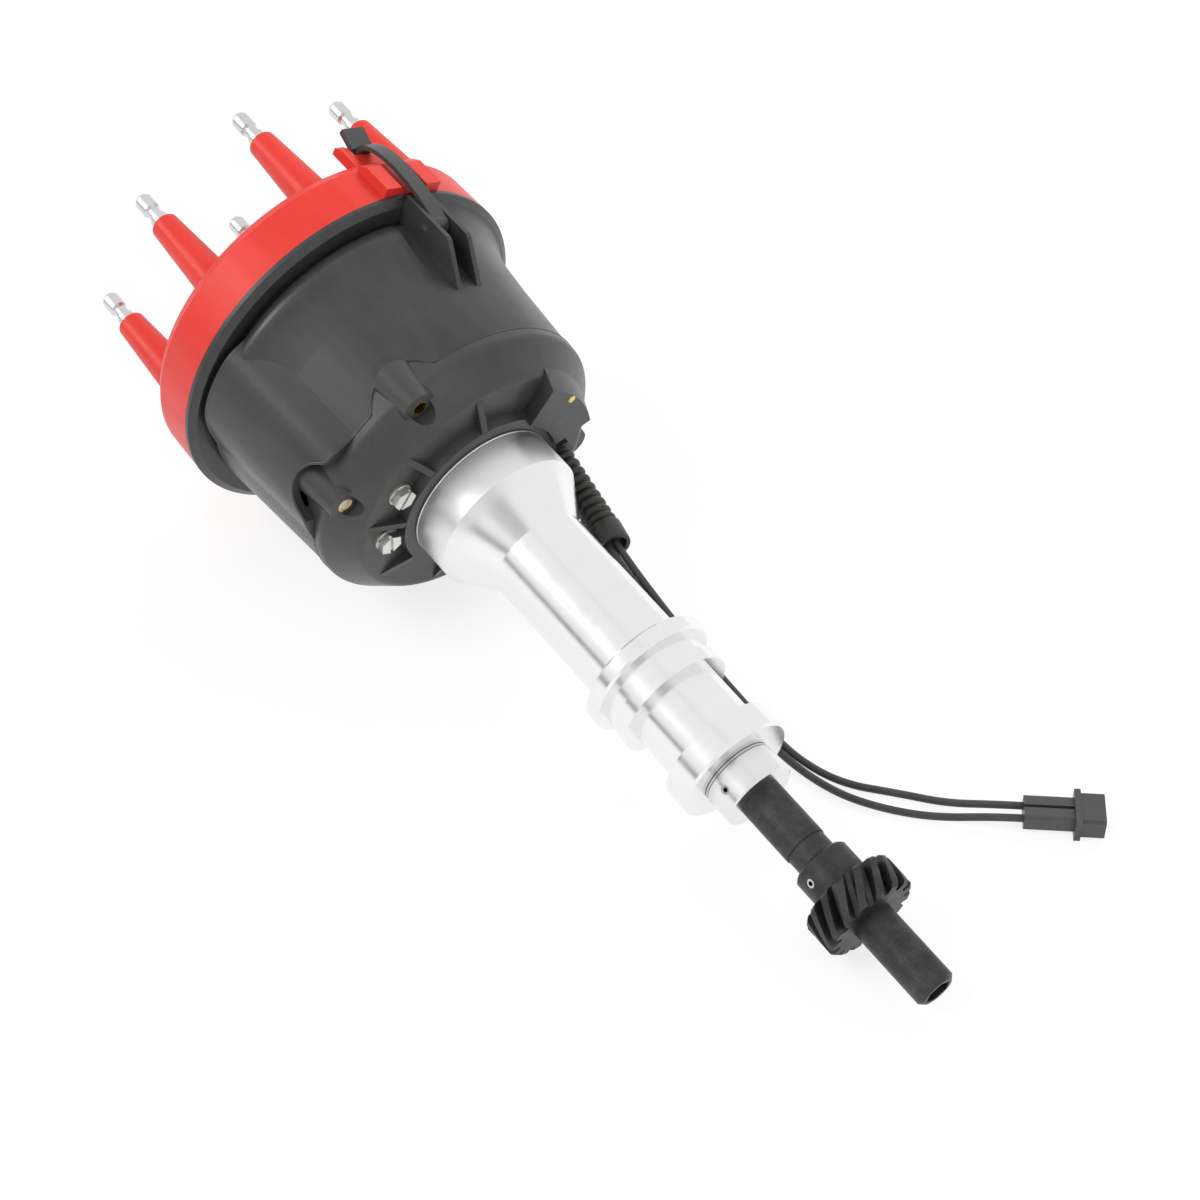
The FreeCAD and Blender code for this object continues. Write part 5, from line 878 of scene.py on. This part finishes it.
DAB_R = 1.35
DAB_THICK = 0.09
DAB_SUNK = 0.02
UNDER_PAD = polar(42.2, 50.0, 110.0)
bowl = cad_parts["bowl_base"]
probe = laid @ UNDER_PAD
found, spot, facing, index = bowl.ray_cast(probe, laid_turn @ Vector((0.0, 0.0, 1.0)))
print("the pad was hit:", found, [round(c * 1000, 2) for c in spot])
dab = bmesh.new()
bmesh.ops.create_circle(dab, segments=40, radius=DAB_R, cap_ends=True)
raised = bmesh.ops.extrude_face_region(dab, geom=dab.faces[:])["geom"]
bmesh.ops.translate(dab, vec=(0, 0, DAB_THICK),
                    verts=[g for g in raised if isinstance(g, bmesh.types.BMVert)])
bmesh.ops.recalc_face_normals(dab, faces=dab.faces)
turn_to = facing.to_track_quat("Z", "Y").to_matrix().to_4x4()
finished(dab, "paint_dab", "yellow_paint", "housing",
         place=Matrix.Translation(spot - facing * DAB_SUNK * MM) @ turn_to @ Matrix.Scale(MM, 4))

# %% [markdown]
# The floor is pale and almost shadowless, as in a cut-out picture. It is part plain
# diffuse, which keeps a soft shadow, and part glow of strength 1, which is paper white.
# Only rays from the eye, and those seen in a mirror, meet the glow, so it lights nothing.

# %% Floor
FLOOR_HALF = 4.0
GLOW_SHARE = 0.80
floor_mesh = bmesh.new()
bmesh.ops.create_grid(floor_mesh, x_segments=2, y_segments=2, size=FLOOR_HALF)
floor_data = bpy.data.meshes.new("floor")
floor_mesh.to_mesh(floor_data)
floor_mesh.free()
floor = bpy.data.objects.new("floor", floor_data)
scene.collection.objects.link(floor)
floor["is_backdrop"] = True
paper = Finish("paper")
tree = paper.tree
tree.nodes.remove(paper.shader)
path = tree.nodes.new("ShaderNodeLightPath")
seen = sum((Signal(tree, path.outputs[k]) for k in
            ("Is Camera Ray", "Is Glossy Ray", "Is Transmission Ray")), start=0.0)
plain = paper.node("ShaderNodeBsdfDiffuse", None, {"Color": colour(0.90, 0.90, 0.90)})
glow = paper.node("ShaderNodeEmission", None, {"Color": colour(1, 1, 1), "Strength": 1.0})
both = paper.node("ShaderNodeMixShader", None, {0: seen * GLOW_SHARE, 1: plain, 2: glow})
feed(tree, tree.nodes["Material Output"].inputs["Surface"], both)
floor_data.materials.append(paper.material)
print("floor laid,", 2.0 * FLOOR_HALF, "m across")

# %% [markdown]
# The world is white to the eye and a soft grey to the object. Polished metal shows what
# stands round it, so mirror rays meet a drawn studio: a bright tent, a dark strip low
# down where the table ends on the viewer's side, a brighter box above that strip, a thin
# seam overhead and the dark place where the camera stands. A strong small box beyond the
# cap puts the sheen on the rounded edges of the resin.

# %% World
AMBIENT = 0.62                        # what lights the dull surfaces
TENT = 0.93                           # what mirror rays meet where nothing else stands
TO_CAMERA = (0.64, -0.40, 0.66)
TO_CAP_BOX = (-0.64, -0.57, 0.52)
CAP_BOX = 6.0
world = bpy.data.worlds.new("studio")
world.use_nodes = True
scene.world = world
sky = Graph(world.node_tree)
ray = sky.node("ShaderNodeLightPath").socket.node.outputs
eye = Signal(sky.tree, ray["Is Camera Ray"]) + Signal(sky.tree, ray["Is Transmission Ray"])
mirror = Signal(sky.tree, ray["Is Glossy Ray"])
way = sky.node("ShaderNodeTexCoord", out="Generated")
side = sky.node("ShaderNodeSeparateXYZ", None, {"Vector": way}).socket.node.outputs
across, height = Signal(sky.tree, side[1]), Signal(sky.tree, side[2])
viewer_side = 1.0 - sky.ease(across, -0.6, -0.2)
table_end = (1.0 - sky.ease(height.off(0.06), 0.02, 0.17)) * viewer_side
softbox = (1.0 - sky.ease(height.off(0.57), 0.02, 0.22)) * viewer_side
seam = (1.0 - sky.ease(across.off(-0.10), 0.0, 0.09)) * sky.ease(height, 0.5, 0.8)
towards_camera = sky.node("ShaderNodeVectorMath", {"operation": "DOT_PRODUCT"},
                          {0: way, 1: TO_CAMERA}, out="Value")
camera_shade = sky.ease(towards_camera, 0.93, 0.985)
towards_cap_box = sky.node("ShaderNodeVectorMath", {"operation": "DOT_PRODUCT"},
                           {0: way, 1: TO_CAP_BOX}, out="Value")
cap_box = sky.ease(towards_cap_box, 0.965, 0.99)
# how much each shape takes off the tent's white or adds to it
tent = (TENT - 0.62 * table_end + 0.17 * softbox - 0.10 * seam - 0.42 * camera_shade
        + CAP_BOX * cap_box)
level = eye + mirror * tent + (1.0 - eye - mirror) * AMBIENT
sky.tree.nodes["Background"].inputs["Color"].default_value = colour(1, 1, 1)
feed(sky.tree, sky.tree.nodes["Background"].inputs["Strength"], level)
print("studio drawn with", len(sky.tree.nodes), "nodes")

# %% [markdown]
# Three large lamps stand round the object: a key on the viewer's side, a rim behind and a
# low one beyond the gear. They are hidden from mirror rays, so they only shape the light
# on the resin and the metal keeps the drawn studio.

# %% Lamps
def lamp(name, place, target, size, watts):
    data = bpy.data.lights.new(name, "AREA")
    data.shape = "RECTANGLE"
    data.size, data.size_y = size
    data.energy = watts
    light = bpy.data.objects.new(name, data)
    light.visible_glossy = False
    aim = (Vector(target) - Vector(place)).to_track_quat("-Z", "Y")
    light.matrix_world = Matrix.Translation(place) @ aim.to_matrix().to_4x4()
    scene.collection.objects.link(light)


lamp("key", (-0.25, -0.75, 0.95), (0.0, 0.0, 0.05), (0.7, 0.5), 9.0)
lamp("rim", (-0.30, 0.85, 0.70), (0.0, 0.0, 0.05), (0.8, 0.4), 8.0)
lamp("low", (0.90, 0.10, 0.45), (0.1, 0.0, 0.03), (0.4, 0.6), 3.0)
scene.view_settings.view_transform = "Standard"
print("lamps and world set")

# %% Sizes
low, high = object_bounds()
print("visual size in mm:", [round((b - a) * 1000, 1) for a, b in zip(low, high)])
